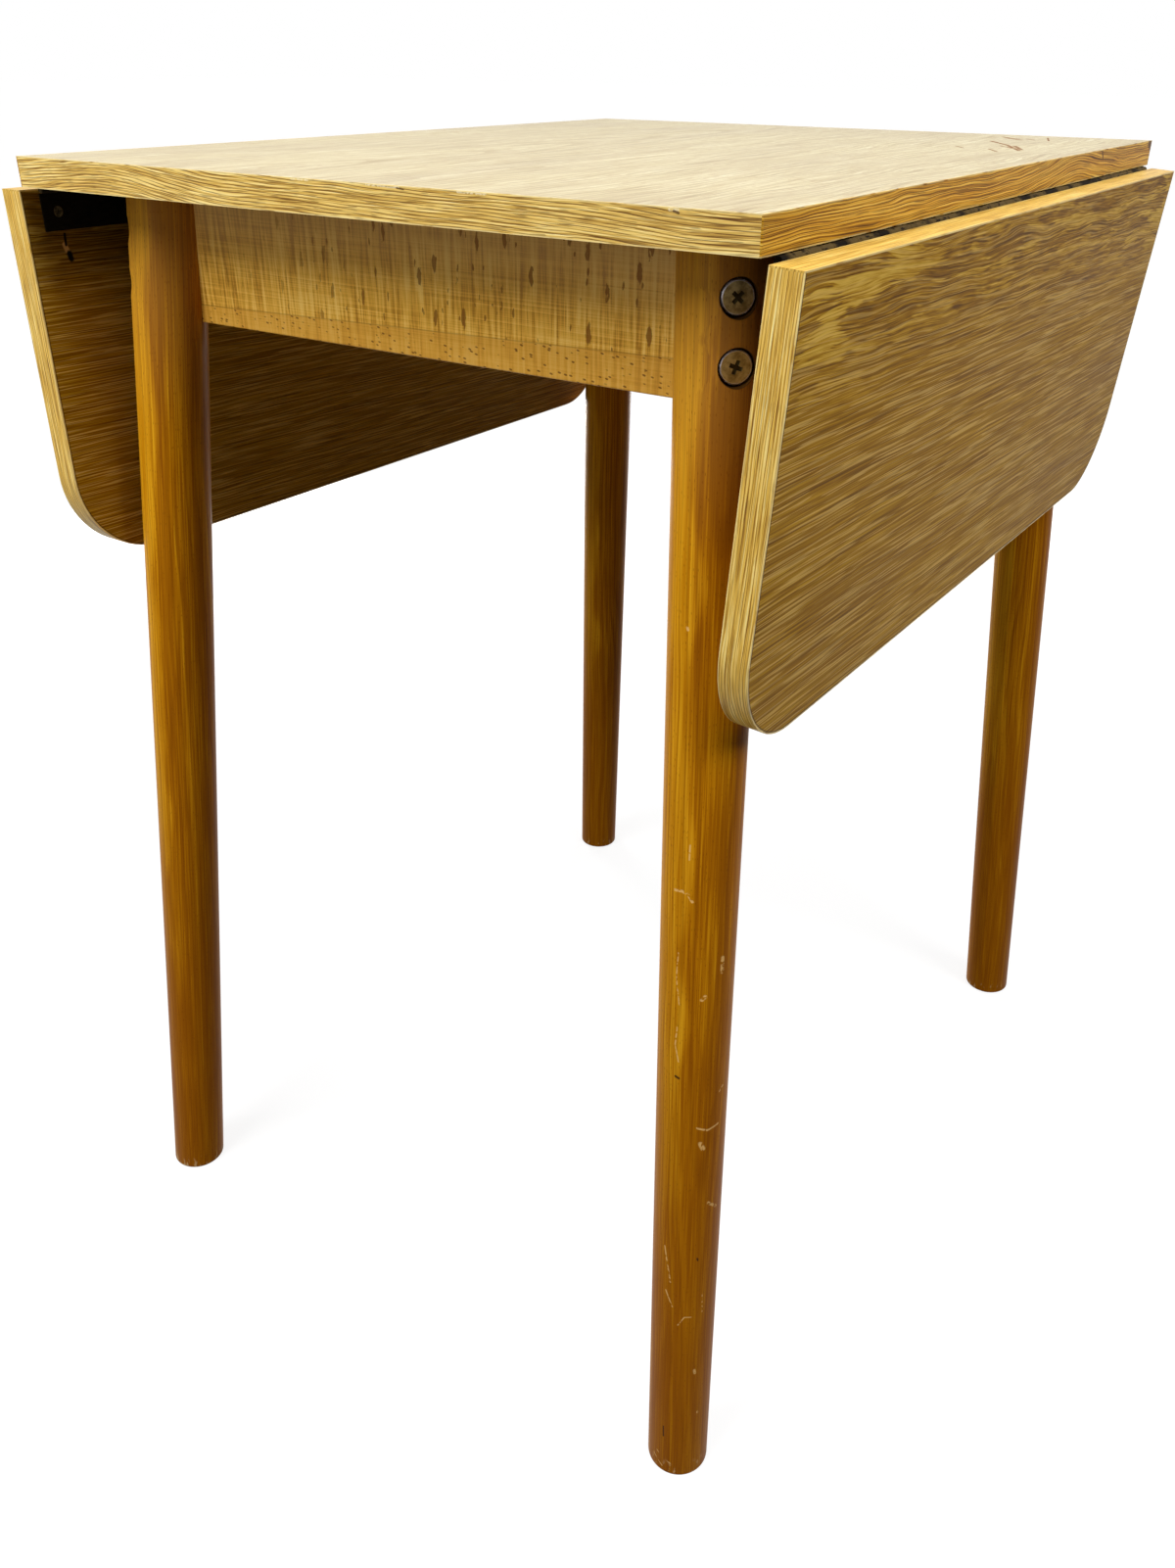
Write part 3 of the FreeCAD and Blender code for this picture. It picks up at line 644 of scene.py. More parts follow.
def past_corner(out, y, side):
    """How far a point lies past the centre of a leaf's round corner, outward and along."""
    return (largest(out - LEAF_STRAIGHT, 0.0),
            largest(size_of(y) - leaf_end_line(side), 0.0))


def leaf_border(out, y, side):
    """How far a point is inside the outline of a level leaf, where it is near it."""
    return LEAF_CORNER - diagonal(*past_corner(out, y, side))


def leaf_material(side):
    """The foil of a leaf, with broad islands near the hinge and close lines beyond. Its tones
    are the top's foil made darker and more saturated, as painted shade.
    """
    panel = "leaf_panel_" + side
    material, tree, shader = start_material("oak_foil_leaf_" + side)
    x, y, z = parts_of(tree, board_place(tree, "leaf_" + side))
    out = x * SIDES[side] - LEAF_START
    layer = z / LEAF_LAYER + LEAF_SEEDS[side]
    near = ramp(out, LEAF_CALM_START, LEAF_WILD_END)
    flow = oak_flow(y, out - y * LEAF_SLOPE, layer, near * LEAF_SWIRL[side] + LEAF_SWAY,
                    length=120.0, width=26.0)
    rings = oak_rings(y, flow, axis=20.0, heart=24.0, spacing=2.6, climb=-300.0)
    gate = dashes(y, flow, layer + 17, length=110.0, width=3.0, low=0.35, high=0.55)
    line = ramp(size_of(rings - 0.5), 0.12, 0.42) * (gate * 0.3 + 0.7)
    comb = noise((y, flow), (16, 0.9), layer + 5, detail=1.0)
    patch = noise((y, flow), (70, 8), layer + 2, detail=1.0) + swing(comb, 0.4)
    ends = ramp(size_of(y), ISLANDS_WEAK, ISLANDS_STRONG, 0.5, 1.0)
    island = ramp(patch, 0.52, 0.58) * near * ends
    fibres = noise((y, flow), (90, 0.75), layer, roughness=0.7)
    streaks = noise((y, flow), (260, 5), layer + 9)
    clouds = noise((y, out), (200, 50), layer + 3)
    tone = (0.47 - line * 0.1 + island * 0.42 - near * 0.1 + swing(fibres, 1.7)
            + near * (comb - 0.5) * 1.2 + swing(streaks, 0.1) + swing(clouds, 0.15))
    tint = palette(tone, FOIL_SHADED_TONES)
    pale = dashes(y, flow, layer + 5, length=55.0, width=0.9, low=0.54, high=0.6)
    dark = dashes(y, flow, layer + 11, length=45.0, width=0.9, low=0.54, high=0.6)
    tint = covered(tint, pale * (1.0 - near * 0.4), FOIL_PALE_DASH)
    tint = covered(tint, dark * (1.0 - island), FOIL_DARK_DASH)
    # dirt and painted shade on the hinge side of the under face
    under_face = ramp(z, BOARD_UNDER + GRIME_AND_SHADE_DEPTH, BOARD_UNDER + GRIME_AND_SHADE_DEPTH / 2)
    tint = covered(tint, ramp(out, GRIME_AND_SHADE_START, GRIME_AND_SHADE_FULL) * under_face, FOIL_GRIME_AND_SHADE)
    joint = ramp(leaf_border(out, y, side), BAND_THICKNESS + JOINT_WIDTH,
                 BAND_THICKNESS + JOINT_CORE)
    tint = covered(tint, joint, FOIL_JOINT)
    if panel in LEAF_TEARS:
        torn, hole = LEAF_TEARS[panel]
        tint = covered(tint, marks_on(panel, tree, torn), FOIL_TORN)
        # painted shade inside the old screw hole and its crack
        tint = covered(tint, marks_on(panel, tree, hole), FOIL_HOLE_SHADE)
    rough = FOIL_ROUGHNESS + swing(clouds, 0.15)
    finish_material(shader, tint, rough, fibres, FOIL_RELIEF, specular=0.02)
    return material


def worn_highlit_edges(height, patches):
    """A pale line along the upper and lower edge of a band, broken into patches: wear, with a
    painted highlight where the edges catch the light.
    """
    upper = ramp(height, BOARD_TOP - EDGE_WEAR_AND_HIGHLIGHT, BOARD_TOP - EDGE_WEAR_AND_HIGHLIGHT_FULL)
    under = ramp(height, BOARD_UNDER + EDGE_WEAR_AND_HIGHLIGHT, BOARD_UNDER + EDGE_WEAR_AND_HIGHLIGHT_FULL)
    return largest(upper, under) * patches


def band_material(name, node, body, coordinates, look):
    """An edge band, whose grain follows its length and arches up at the figure's crest."""
    material, tree, shader = start_material(name)
    seed, figure = look.seed, look.figure
    x, y, z = parts_of(tree, board_place(tree, body))
    along = coordinates(x, y)
    arch = ramp(size_of(along - figure.crest), 0.0, figure.reach) * figure.arch
    flow = oak_flow(along, z, seed, figure.sway, figure.length, figure.width) + arch
    line = ramp(oak_rings(along, flow, climb=figure.climb, **BAND_RINGS), 0.42, 0.0)
    fibres = noise((along, flow), (figure.run * 2, 0.75), seed, roughness=0.65)
    clouds = noise((along, z), (figure.run * 2, 6), seed + 3)
    tone = 0.56 - line * 0.12 + swing(fibres, look.threads) + swing(clouds, 0.6)
    tint = palette(tone, look.shades)
    long_dash = dashes(along, flow, seed + 1, figure.run, width=1.1, low=0.36, high=0.5)
    short_dash = dashes(along, flow, seed + 2, figure.run / 2, width=0.7, low=0.56, high=0.66)
    dark = largest(line * (long_dash * 0.75 + 0.25), short_dash * 0.5)
    darkest = look.shades[0][1]
    tint = covered(tint, dark, Cover(darkest, look.lines))
    patches = ramp(noise((along, seed), (14, 1), detail=3.0), 0.34, 0.5)
    # worn edges with a painted highlight
    tint = covered(tint, worn_highlit_edges(z, patches), Cover(BAND_EDGE_WEAR_AND_HIGHLIGHT, look.wear_and_painted_light))
    if node in BAND_MARKS:
        chips, nicks = BAND_MARKS[node]
        if chips:
            ragged = ramp(noise((along, z), (1.6, 0.8), seed, detail=3.0), 0.38, 0.54)
            tint = covered(tint, marks_on(node, tree, chips) * ragged, BAND_CHIP)
        tint = covered(tint, marks_on(node, tree, nicks), BAND_NICK)
    relief = fibres - dark * look.lines * 0.4
    finish_material(shader, tint, BAND_ROUGHNESS, relief, BAND_RELIEF, specular=look.specular)
    return material


def along_x(x, y):
    """The place along a band that lies along X."""
    return x


def along_y(x, y):
    """The place along a band that lies along Y."""
    return y


def round_the_leaf(side):
    """Distance along the band that goes round a leaf, from the middle of its long edge."""
    end_line = leaf_end_line(side)
    middle = LEAF_STRAIGHT + LEAF_CORNER * math.pi / 2 + end_line

    def coordinates(x, y):
        out = x * SIDES[side] - LEAF_START
        turn = calculate(x.tree, "ARCTAN2", *past_corner(out, y, side))
        run = smallest(out, LEAF_STRAIGHT) + turn * LEAF_CORNER + end_line
        run = run - smallest(size_of(y), end_line)
        return (middle - run) * calculate(x.tree, "SIGN", y)
    return coordinates


# ---- beech ---------------------------------------------------------------------------
LEG_SHADES = ((0.0, (122, 64, 1)), (0.4, (156, 92, 3)), (0.62, (184, 119, 7)),
              (1.0, (224, 162, 28)))
LEG_LINE = Cover((118, 62, 2), 0.3)
LEG_PALE_TOP = Cover((182, 140, 74), 0.28)
# painted shade: the legs darker towards the foot
LEG_FOOT_SHADE = Cover((146, 80, 1), 0.4)
LEG_FLECK = Cover((100, 50, 2), 0.5)
# painted shade in the counterbore round each leg bolt
LEG_BORE_SHADE = Cover((20, 13, 7), 0.95)
LEG_SCRATCH = Cover((232, 186, 112), 0.8)
LEG_DENT = Cover((48, 26, 10), 0.9)
LEG_SCUFF = Cover((226, 196, 140), 0.5)
LEG_SEED_ACROSS = 11.0    # these two give each leg a seed of its own
LEG_SEED_ALONG = 5.0
LEG_ROUGHNESS = 0.38
LEG_RELIEF = 0.06
LEG_TURNS = {"leg_front_right": -35, "leg_front_left": 40, "leg_back_right": 75,
             "leg_back_left": 10}            # where the growth rings face, in degrees from +X
FLAME_TURN = 214.0        # where the legs' pale flames face, in degrees from +X
FLAME_HEIGHT = 80.0
FLAME_DEPTHS = (5.0, 11.0)          # the flames begin and are full this far from the axis
FLAME_HEIGHTS = (120.0, 330.0)      # and at these heights
PALE_HEIGHTS = (580.0, 710.0)       # the pale top begins and is full at these heights,
FOOT_SHADE_HEIGHTS = (420.0, 120.0)       # and so does the painted shade that darkens the foot,
SCUFF_HEIGHTS = (14.0, 2.0)         # and the scuffs on the foot's rim
RING_SPACING = 4.4        # of the dark lines in the growth rings
RING_WARP = 16.0          # how far they wander
RING_SLOPE = 0.012        # how far they lean out from the leg's axis

RAIL_SHADES = ((0.0, (172, 118, 36)), (0.4, (220, 164, 60)), (0.62, (236, 182, 74)),
               (1.0, (250, 206, 106)))
RAIL_LOWER = Cover((216, 156, 58), 0.6)
# painted shade: the rails' top greyed under the top's overhang
RAIL_TOP_SHADE = Cover((200, 160, 104), 0.62)
RAIL_RAY = Cover((124, 76, 20), 0.8)
RAIL_PORE = Cover((104, 58, 16), 0.85)
RAIL_GLUE = Cover((120, 76, 30), 0.35)
RAIL_ROUGHNESS = 0.42
RAIL_RELIEF = 0.03
RAIL_SHADE_HEIGHTS = (676.0, 722.0)       # the painted shade that greys the rails' top begins and is full here
RAY_SIZES = (5.5, 18, 60)           # spacing of the ray flecks: along, up and through
SMALL_RAY_SIZES = (3.4, 10, 60)
SIDE_RAIL_SEED = 20.0
APRON_SEED = 40.0
RAY_ENDS = (-140.0, 0.0)            # few flecks before one place along, all after the other
PORE_SIZES = (4.2, 1.9, 20)         # spacing of the pores below the glue line
PORE_SLOPE = 0.152
GLUE_WIDTH = 0.6          # how far from its middle the glue line fades out
GLUE_CORE = 0.1

PLAIN_WOODS = {"block_wood": ((174, 134, 82), (206, 170, 118)),
               "dowel": ((186, 148, 98), (214, 180, 130))}
PLAIN_ROUGHNESS = 0.6
PLAIN_RELIEF = 0.05


def leg_axis(node, side, end):
    """The middle of a leg's foot and of its top as seen from above, and its height."""
    low, high = (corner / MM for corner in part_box(node))
    outer = Vector((high.x if side > 0 else low.x, high.y if end > 0 else low.y))
    inner = Vector((low.x if side > 0 else high.x, low.y if end > 0 else high.y))
    outward = Vector((side, end))
    return outer - outward * FOOT_RADIUS, inner + outward * LEG_TOP_RADIUS, high.z


def turned(dx, dy, degrees):
    """How far a place lies from the axis in a direction, in degrees from +X."""
    angle = math.radians(degrees)
    return dx * math.cos(angle) + dy * math.sin(angle)


def leg_material(node, side, end):
    """Lacquered beech, with flames where the saw ran along the growth rings."""
    material, tree, shader = start_material("beech_" + node)
    x, y, z = parts_of(tree, place_of(tree))
    foot, top, height = leg_axis(node, side, end)
    dx = x - foot.x - z * ((top.x - foot.x) / height)
    dy = y - foot.y - z * ((top.y - foot.y) / height)
    seed = LEG_SEED_ACROSS * side + LEG_SEED_ALONG * end
    warp = swing(noise((z, dx, dy), (230, 45, 45), seed), RING_WARP)
    deep = turned(dx, dy, LEG_TURNS[node]) + warp + z * RING_SLOPE
    ring = noise((deep, z), (3.6, 1500), seed, detail=3.0, roughness=0.6)
    fibres = noise((z, dx, dy), (60, 0.8, 0.8), seed, detail=3.0)
    clouds = noise((z, dx, dy), (120, 25, 25), seed)
    flat = turned(dx, dy, FLAME_TURN)
    flicker = swing(noise((z, flat), (FLAME_HEIGHT, 30), seed, detail=1.0), 26)
    flame = ramp(flat + flicker, *FLAME_DEPTHS) * ramp(z, *FLAME_HEIGHTS)
    tone = 0.46 + swing(ring, 0.9) + swing(fibres, 1.1) + swing(clouds, 0.4) + flame * 0.3
    tint = palette(tone, LEG_SHADES)
    tint = covered(tint, ramp(wave(deep / RING_SPACING), 0.8, 1.0), LEG_LINE)
    tint = covered(tint, ramp(z, *PALE_HEIGHTS), LEG_PALE_TOP)
    # painted shade, darker towards the foot
    tint = covered(tint, ramp(z, *FOOT_SHADE_HEIGHTS), LEG_FOOT_SHADE)
    fleck, chance = cells((z, dx, dy), (3.6, 0.9, 0.9), seed)
    tint = covered(tint, ramp(fleck, 0.28, 0.12) * ramp(chance, 0.45, 0.55), LEG_FLECK)
    # painted shade in the counterbore round each leg bolt
    tint = covered(tint, ramp(from_bolt(x, y, z), *BORE_SHADE_FADE), LEG_BORE_SHADE)
    relief = fibres
    if node in LEG_MARKS:
        pale, dark = LEG_MARKS[node]
        broken = ramp(noise((x, y, z), (2.2, 2.2, 2.2), detail=3.0), 0.4, 0.52)
        scratch = marks_on(node, tree, pale) * broken
        dent = marks_on(node, tree, dark)
        tint = covered(tint, scratch, LEG_SCRATCH)
        tint = covered(tint, dent, LEG_DENT)
        relief = fibres * 0.3 - scratch - dent
    scuffs = ramp(noise((x, y, z), (3, 3, 9), detail=4.0), 0.54, 0.64)
    tint = covered(tint, ramp(z, *SCUFF_HEIGHTS) * scuffs, LEG_SCUFF)
    rough = LEG_ROUGHNESS + swing(clouds, 0.1)
    finish_material(shader, tint, rough, relief, LEG_RELIEF, specular=0.03)
    return material


def ray_flecks(parts, seed, wobble):
    """The dark flecks that quarter-sawn beech shows, large and small."""
    fleck, chance = cells(parts, RAY_SIZES, seed, wobble)
    reach = ramp(chance, 0.2, 0.9, 0.05, 0.27)
    large = ramp(fleck - reach, 0.03, -0.02) * ramp(chance, 0.2, 0.24)
    fleck, chance = cells(parts, SMALL_RAY_SIZES, seed + 7, wobble)
    reach = ramp(chance, 0.35, 0.9, 0.0, 0.2)
    return largest(large, ramp(fleck - reach, 0.03, -0.02))


def rail_material(name, lengthwise, seed):
    """Quarter-sawn beech with ray flecks, and flat-sawn beech below a glue line; the rails' top
    is greyed as painted shade.
    """
    material, tree, shader = start_material(name)
    x, y, z = parts_of(tree, place_of(tree))
    along, across = (x, y) if lengthwise == "x" else (y, x)
    parts = (along, z, across)
    seam = z - GLUE_LINE - along * GLUE_LINE_SLOPE
    lower = ramp(seam, GLUE_WIDTH, -GLUE_WIDTH)
    ribbon = noise(parts, (2, 45, 8), seed, detail=3.0, roughness=0.65)
    lines = noise(parts, (90, 0.7, 8), seed)
    clouds = noise(parts, (60, 35, 30), seed)
    tone = 0.52 + swing(ribbon, 3.0) + swing(lines, 1.1) + swing(clouds, 0.8)
    tint = palette(tone, RAIL_SHADES)
    tint = covered(tint, lower, RAIL_LOWER)
    # painted shade under the top's overhang
    tint = covered(tint, ramp(z, *RAIL_SHADE_HEIGHTS), RAIL_TOP_SHADE)
    wobble = swing(noise(parts, (1.6, 4, 8), seed, detail=3.0), 0.5)
    more = ramp(along, *RAY_ENDS, 0.35, 1.0)
    rays = ray_flecks(parts, seed, wobble) * (1.0 - lower) * more
    tint = covered(tint, rays, RAIL_RAY)
    dash, chance = cells((along, z + along * PORE_SLOPE, across), PORE_SIZES, seed)
    pores = ramp(dash, 0.3, 0.18) * ramp(chance, 0.35, 0.4) * lower
    tint = covered(tint, pores, RAIL_PORE)
    tint = covered(tint, ramp(size_of(seam), GLUE_WIDTH, GLUE_CORE), RAIL_GLUE)
    finish_material(shader, tint, RAIL_ROUGHNESS, ribbon, RAIL_RELIEF, specular=0.08)
    return material


def plain_wood(name):
    """Bare wood whose grain stands upright."""
    material, tree, shader = start_material(name)
    x, y, z = parts_of(tree, place_of(tree))
    fibres = noise((z, x, y), (30, 1.6, 1.6), detail=3.0)
    tint = mottled(fibres, *PLAIN_WOODS[name], low=0.3, high=0.7)
    finish_material(shader, tint, PLAIN_ROUGHNESS, fibres, PLAIN_RELIEF, specular=0.2)
    return material


# ---- metals --------------------------------------------------------------------------
class Metal(NamedTuple):
    """A metal's darker and lighter shade, and its gloss."""
    dark: tuple
    light: tuple
    rough: float
    grain: float          # size of the mottling, in millimetres
    uneven: float = 0.25  # how much the mottling changes the roughness


BRONZE = Metal((160, 144, 98), (206, 188, 134), 0.36, 3.0, uneven=0.2)
# the hinge screws: dark bronze, darkened further as painted shade
SHADED_SCREW = Metal((40, 36, 30), (92, 84, 70), 0.32, 1.5)
STAY_STEEL = Metal((128, 124, 118), (170, 166, 158), 0.42, 5.0)
ZINC = Metal((140, 138, 132), (182, 180, 172), 0.4, 3.0)
METAL_RELIEF = 0.02

# a painted highlight on the rim of each bolt head, and painted shade in its cross recess
BOLT_RIM_HIGHLIGHT = Cover((252, 248, 255), 1.0)
BOLT_RECESS_SHADE = Cover((24, 19, 15), 0.9)
RIM_WIDTH = 1.0           # of the painted highlight on the rim of a bolt's head
RECESS_DEPTHS = (0.7, 1.3)          # painted shade darkens the recess between these depths,
RECESS_REACH = (1.2, 2.0)           # and between these distances in from the head's rim

# near black: a dark finish darkened further as painted shade
HINGE_SHADED_DARK = (12, 9, 5)
HINGE_SHADED_LIGHT = (24, 18, 11)
HINGE_WORN = Cover((92, 76, 46), 0.9)
HINGE_ROUGHNESS = 0.6
HINGE_RELIEF = 0.03


def metal_material(name, metal, wear_and_painted_light=None):
    """Metal with a soft mottling and a slightly uneven gloss, and what a given function paints
    over it: on the bolts, painted highlight and painted shade.
    """
    material, tree, shader = start_material(name)
    x, y, z = parts_of(tree, place_of(tree))
    mottle = noise((x, y, z), (metal.grain,) * 3, detail=4.0, roughness=0.6)
    tint = mottled(mottle, metal.dark, metal.light, low=0.35, high=0.65)
    if wear_and_painted_light is not None:
        tint = wear_and_painted_light(tint, x, y, z)
    rough = metal.rough + swing(mottle, metal.uneven)
    finish_material(shader, tint, rough, mottle, METAL_RELIEF, metal=1.0)
    return material


def bolt_axes():
    """The heights of the leg bolts' two axes, and their place across the corner."""
    low, high = (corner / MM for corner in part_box("leg_bolts"))
    across = [abs(vertex.co.x) - abs(vertex.co.y) for vertex in nodes["leg_bolts"].data.vertices]
    middle = (min(across) + max(across)) / 2 / MM / math.sqrt(2)
    return (low.z + BOLT_RADIUS, high.z - BOLT_RADIUS), middle


def bolt_face(between, sign):
    """How far out on the corner's diagonal the lower or upper bolts' heads reach."""
    points = [vertex.co / MM for vertex in nodes["leg_bolts"].data.vertices]
    reach = [abs(point.x) + abs(point.y) for point in points if sign * (point.z - between) > 0]
    return max(reach) / math.sqrt(2)


def from_bolt(x, y, z):
    """Distance from the nearest leg bolt's axis."""
    (lower, upper), middle = bolt_axes()
    side = (size_of(x) - size_of(y)) / math.sqrt(2) - middle
    rise = smallest(size_of(z - lower), size_of(z - upper))
    return diagonal(side, rise)


def bolt_painted_light(tint, x, y, z):
    """A bolt head's tint, with a painted highlight at the rim and painted shade inside the cross
    recess.
    """
    away = from_bolt(x, y, z)
    out = (size_of(x) + size_of(y)) / math.sqrt(2)
    between = sum(bolt_axes()[0]) / 2
    lower, upper = (bolt_face(between, sign) for sign in (-1, 1))
    face = ramp(z, between - 1.0, between + 1.0, lower, upper)
    # painted highlight on the bolt head's rim
    rim = ramp(away, BOLT_RADIUS - RIM_WIDTH, BOLT_RADIUS - RIM_WIDTH / 2)
    tint = covered(tint, rim, BOLT_RIM_HIGHLIGHT)
    # painted shade inside the cross recess
    shallow, deep = (face - depth for depth in RECESS_DEPTHS)
    outer, inner = (BOLT_RADIUS - reach for reach in RECESS_REACH)
    return covered(tint, ramp(out, shallow, deep) * ramp(away, outer, inner), BOLT_RECESS_SHADE)


def hinge_material():
    """Dark lacquered hinge wings, made near black as painted shade, whose knuckles are worn to a
    brown grey in patches.
    """
    material, tree, shader = start_material("dark_hinge_steel")
    x, y, z = parts_of(tree, place_of(tree))
    axis = Vector(joints["leaf_right_fold"]["pos_m"]) / MM
    away = diagonal(z - axis.z, size_of(x) - axis.x)
    knuckle = ramp(away, *KNUCKLE_FADE)
    mottle = noise((x, y, z), (2, 5, 2), detail=3.0)
    patches = ramp(noise((y, x), (24, 60)), 0.4, 0.52) * ramp(mottle, 0.3, 0.5)
    tint = mottled(mottle, HINGE_SHADED_DARK, HINGE_SHADED_LIGHT, low=0.3, high=0.7)
    tint = covered(tint, knuckle * patches, HINGE_WORN)
    rough = HINGE_ROUGHNESS + swing(mottle, 0.2)
    finish_material(shader, tint, rough, mottle, HINGE_RELIEF, specular=0.02)
    return material


# ---- the floor and the light ---------------------------------------------------------
WHITE = (1.0, 1.0, 1.0, 1.0)
FLOOR_REACH = 30.0        # metres from the table to the floor's edge
FLOOR_PALE = (0.25, 0.25, 0.25, 1.0)         # its linear shade where it is seen directly,
FLOOR_GREY = (0.12, 0.115, 0.11, 1.0)        # and in the light that it sends to the table
FLOOR_GLOW = 0.82         # how brightly it glows near the table where it is seen directly,
GLOW_START = 800.0        # brighter from this far on, in millimetres,
GLOW_FULL = 2600.0        # and white from here
WORLD_STRENGTH = 0.015    # of the light that the world gives the table


class Lamp(NamedTuple):
    """A square lamp, in metres and watts."""
    place: tuple
    target: tuple
    size: float
    power: float


LAMPS = {
    "overhead_lamp": Lamp((0.1, 0.0, 2.1), (0.0, 0.0, 0.7), 1.8, 20),
    "key_lamp": Lamp((-0.35, -1.25, 1.75), (0.0, -0.1, 0.5), 1.0, 25),
    "side_lamp": Lamp((1.6, -0.2, 1.9), (0.2, 0.0, 0.6), 0.9, 25),
    "front_lamp": Lamp((-0.2, -1.9, 0.8), (0.0, -0.1, 0.5), 1.0, 5),
    "left_lamp": Lamp((-1.6, 1.0, 0.36), (0.0, 0.0, 0.42), 0.66, 20),
    "back_lamp": Lamp((-0.3, 2.0, 0.36), (-0.1, 0.0, 0.42), 0.66, 12),
}


def seen_directly(tree):
    """1 for what the camera, a mirror or clear matter sees, and 0 for other light."""
    rays = tree.nodes.new("ShaderNodeLightPath")
    kinds = ("Is Camera Ray", "Is Glossy Ray", "Is Transmission Ray")
    return largest(*(Value(tree, rays.outputs[kind]) for kind in kinds))


def matte(tree, shade):
    """A matt shader of one linear shade."""
    node = tree.nodes.new("ShaderNodeBsdfDiffuse")
    node.inputs["Color"].default_value = shade
    return node.outputs[0]


def floor_material():
    """Pale where it is seen directly, growing white far away, and grey to other light."""
    material = bpy.data.materials.new("floor")
    material.use_nodes = True
    tree = material.node_tree
    tree.nodes.clear()
    away = tree.nodes.new("ShaderNodeVectorMath")
    away.operation = "LENGTH"
    tree.links.new(place_of(tree), away.inputs[0])
    distance = Value(tree, away.outputs["Value"])
    glow = tree.nodes.new("ShaderNodeEmission")
    glow.inputs["Color"].default_value = WHITE
    feed(tree, glow.inputs["Strength"], ramp(distance, GLOW_START, GLOW_FULL, FLOOR_GLOW, 1.0))
    pale = tree.nodes.new("ShaderNodeAddShader")
    tree.links.new(matte(tree, FLOOR_PALE), pale.inputs[0])
    tree.links.new(glow.outputs[0], pale.inputs[1])
    mix = tree.nodes.new("ShaderNodeMixShader")
    feed(tree, mix.inputs[0], seen_directly(tree))
    tree.links.new(matte(tree, FLOOR_GREY), mix.inputs[1])
    tree.links.new(pale.outputs[0], mix.inputs[2])
    output = tree.nodes.new("ShaderNodeOutputMaterial")
    tree.links.new(mix.outputs[0], output.inputs["Surface"])
    return material


def make_floor():
    """A wide flat floor at the height of the feet."""
    corners = [(-FLOOR_REACH, -FLOOR_REACH, 0), (FLOOR_REACH, -FLOOR_REACH, 0),
               (FLOOR_REACH, FLOOR_REACH, 0), (-FLOOR_REACH, FLOOR_REACH, 0)]
    mesh = bpy.data.meshes.new("floor")
    mesh.from_pydata(corners, [], [(0, 1, 2, 3)])
    mesh.materials.append(floor_material())
    floor = bpy.data.objects.new("floor", mesh)
    bpy.context.scene.collection.objects.link(floor)


def make_lamp(name, lamp):
    """A square soft lamp that the camera doesn't see."""
    data = bpy.data.lights.new(name, "AREA")
    data.size = lamp.size
    data.energy = lamp.power
    light = bpy.data.objects.new(name, data)
    light.location = lamp.place
    light.rotation_mode = "QUATERNION"
    backward = Vector(lamp.place) - Vector(lamp.target)
    light.rotation_quaternion = backward.to_track_quat("Z", "Y")
    light.visible_camera = False
    bpy.context.scene.collection.objects.link(light)


def make_world():
    """Even light from all round, and white where the camera or a mirror sees it."""
    world = bpy.data.worlds.new("world")
    bpy.context.scene.world = world
    world.use_nodes = True
    tree = world.node_tree
    background = tree.nodes["Background"]
    background.inputs["Color"].default_value = WHITE
    strength = ramp(seen_directly(tree), 0.0, 1.0, WORLD_STRENGTH, 1.0)
    feed(tree, background.inputs["Strength"], strength)


def make_light():
    """The lamps and the world, at a plain level."""
    for name, lamp in LAMPS.items():
        make_lamp(name, lamp)
    make_world()
    bpy.context.scene.view_settings.view_transform = "Standard"


# ---- dressing the nodes --------------------------------------------------------------
def dress(node, material):
    """Gives a node its material."""
    for slot in nodes[node].material_slots:
        slot.material = material


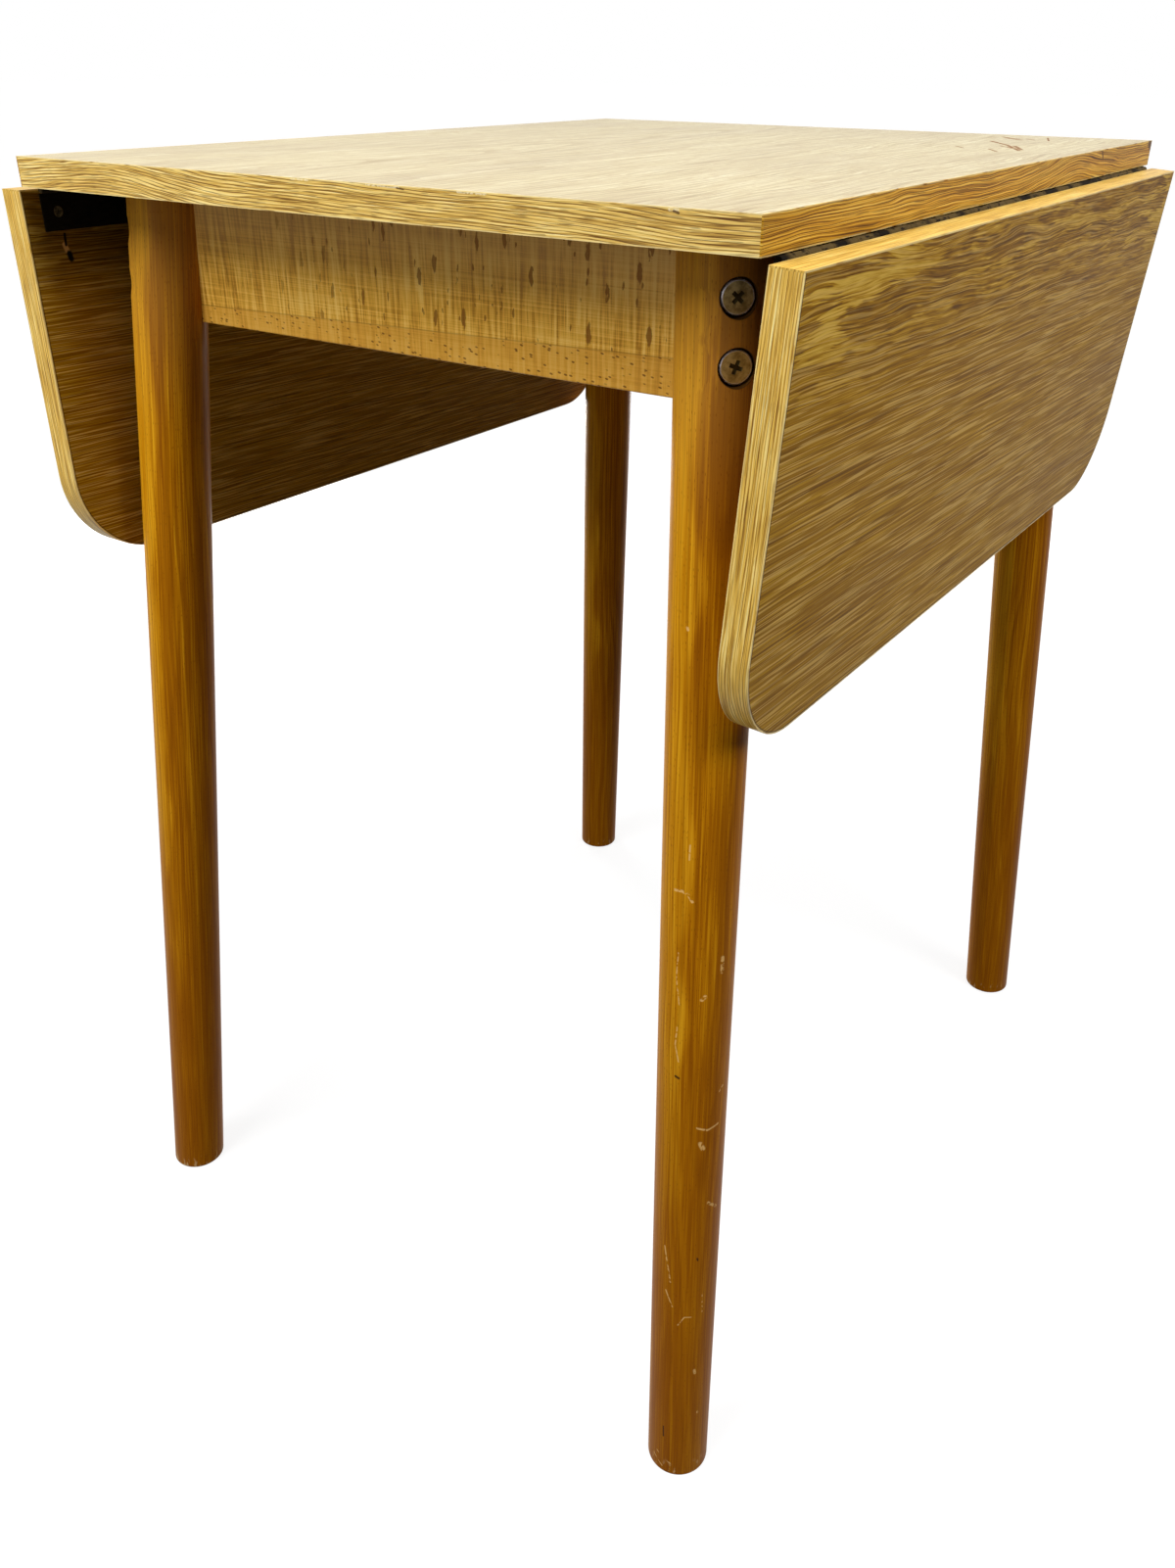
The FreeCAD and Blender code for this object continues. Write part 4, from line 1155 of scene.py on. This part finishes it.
def dress_band(name, node, body, coordinates, look):
    """Gives an edge band its material."""
    dress(node, band_material(name, node, body, coordinates, look))


def dress_boards():
    """The fixed top, the two leaves and their bands."""
    dress("fixed_top", top_material())
    dress_band("oak_band_ends", "top_end_bands", "table", along_x, FRONT_BAND)
    dress_band("oak_band_sides", "top_side_bands", "table", along_y, SIDE_BAND)
    for side in SIDES:
        body = "leaf_" + side
        dress("leaf_panel_" + side, leaf_material(side))
        dress_band("oak_band_round_" + side, "leaf_edge_band_" + side, body,
                   round_the_leaf(side), ROUND_BAND)
        dress_band("oak_band_hinge_" + side, "leaf_hinge_band_" + side, body, along_y,
                   HINGE_BAND)


def dress_frame():
    """The legs, rails, corner blocks and dowels."""
    block_wood = plain_wood("block_wood")
    for side, side_sign in SIDES.items():
        for end, end_sign in ENDS.items():
            node = f"leg_{end}_{side}"
            dress(node, leg_material(node, side_sign, end_sign))
            dress(f"corner_block_{end}_{side}", block_wood)
        seed = SIDE_RAIL_SEED * side_sign
        dress("side_rail_" + side, rail_material("beech_rail_" + side, "y", seed))
    for end, end_sign in ENDS.items():
        seed = APRON_SEED * end_sign
        dress("apron_" + end, rail_material("beech_apron_" + end, "x", seed))
    dress("rail_dowels", plain_wood("dowel"))


def dress_metal():
    """Each metal goes to the nodes whose names start so, and a later line overrules."""
    bronze = metal_material("bronzed_steel", BRONZE, bolt_painted_light)
    dark = hinge_material()
    screw = metal_material("shaded_screw_steel", SHADED_SCREW)
    stay = metal_material("stay_steel", STAY_STEEL)
    zinc = metal_material("zinc_steel", ZINC)
    by_start = (("leg_bolts", bronze), ("hinge_pin", dark), ("hinge_top_wing", dark),
                ("hinge_leaf_wing", dark), ("hinge_top_screws", screw),
                ("hinge_leaf_screws", screw), ("stay_", stay), ("stay_rail_screws", zinc),
                ("stay_leaf_screws", zinc), ("leg_bolt_nuts", zinc),
                ("leg_bolt_washers", zinc), ("top_fixing_screws", zinc))
    for start, material in by_start:
        for node in nodes:
            if node.startswith(start):
                dress(node, material)


make_camera()
make_floor()
make_light()
dress_boards()
dress_frame()
dress_metal()
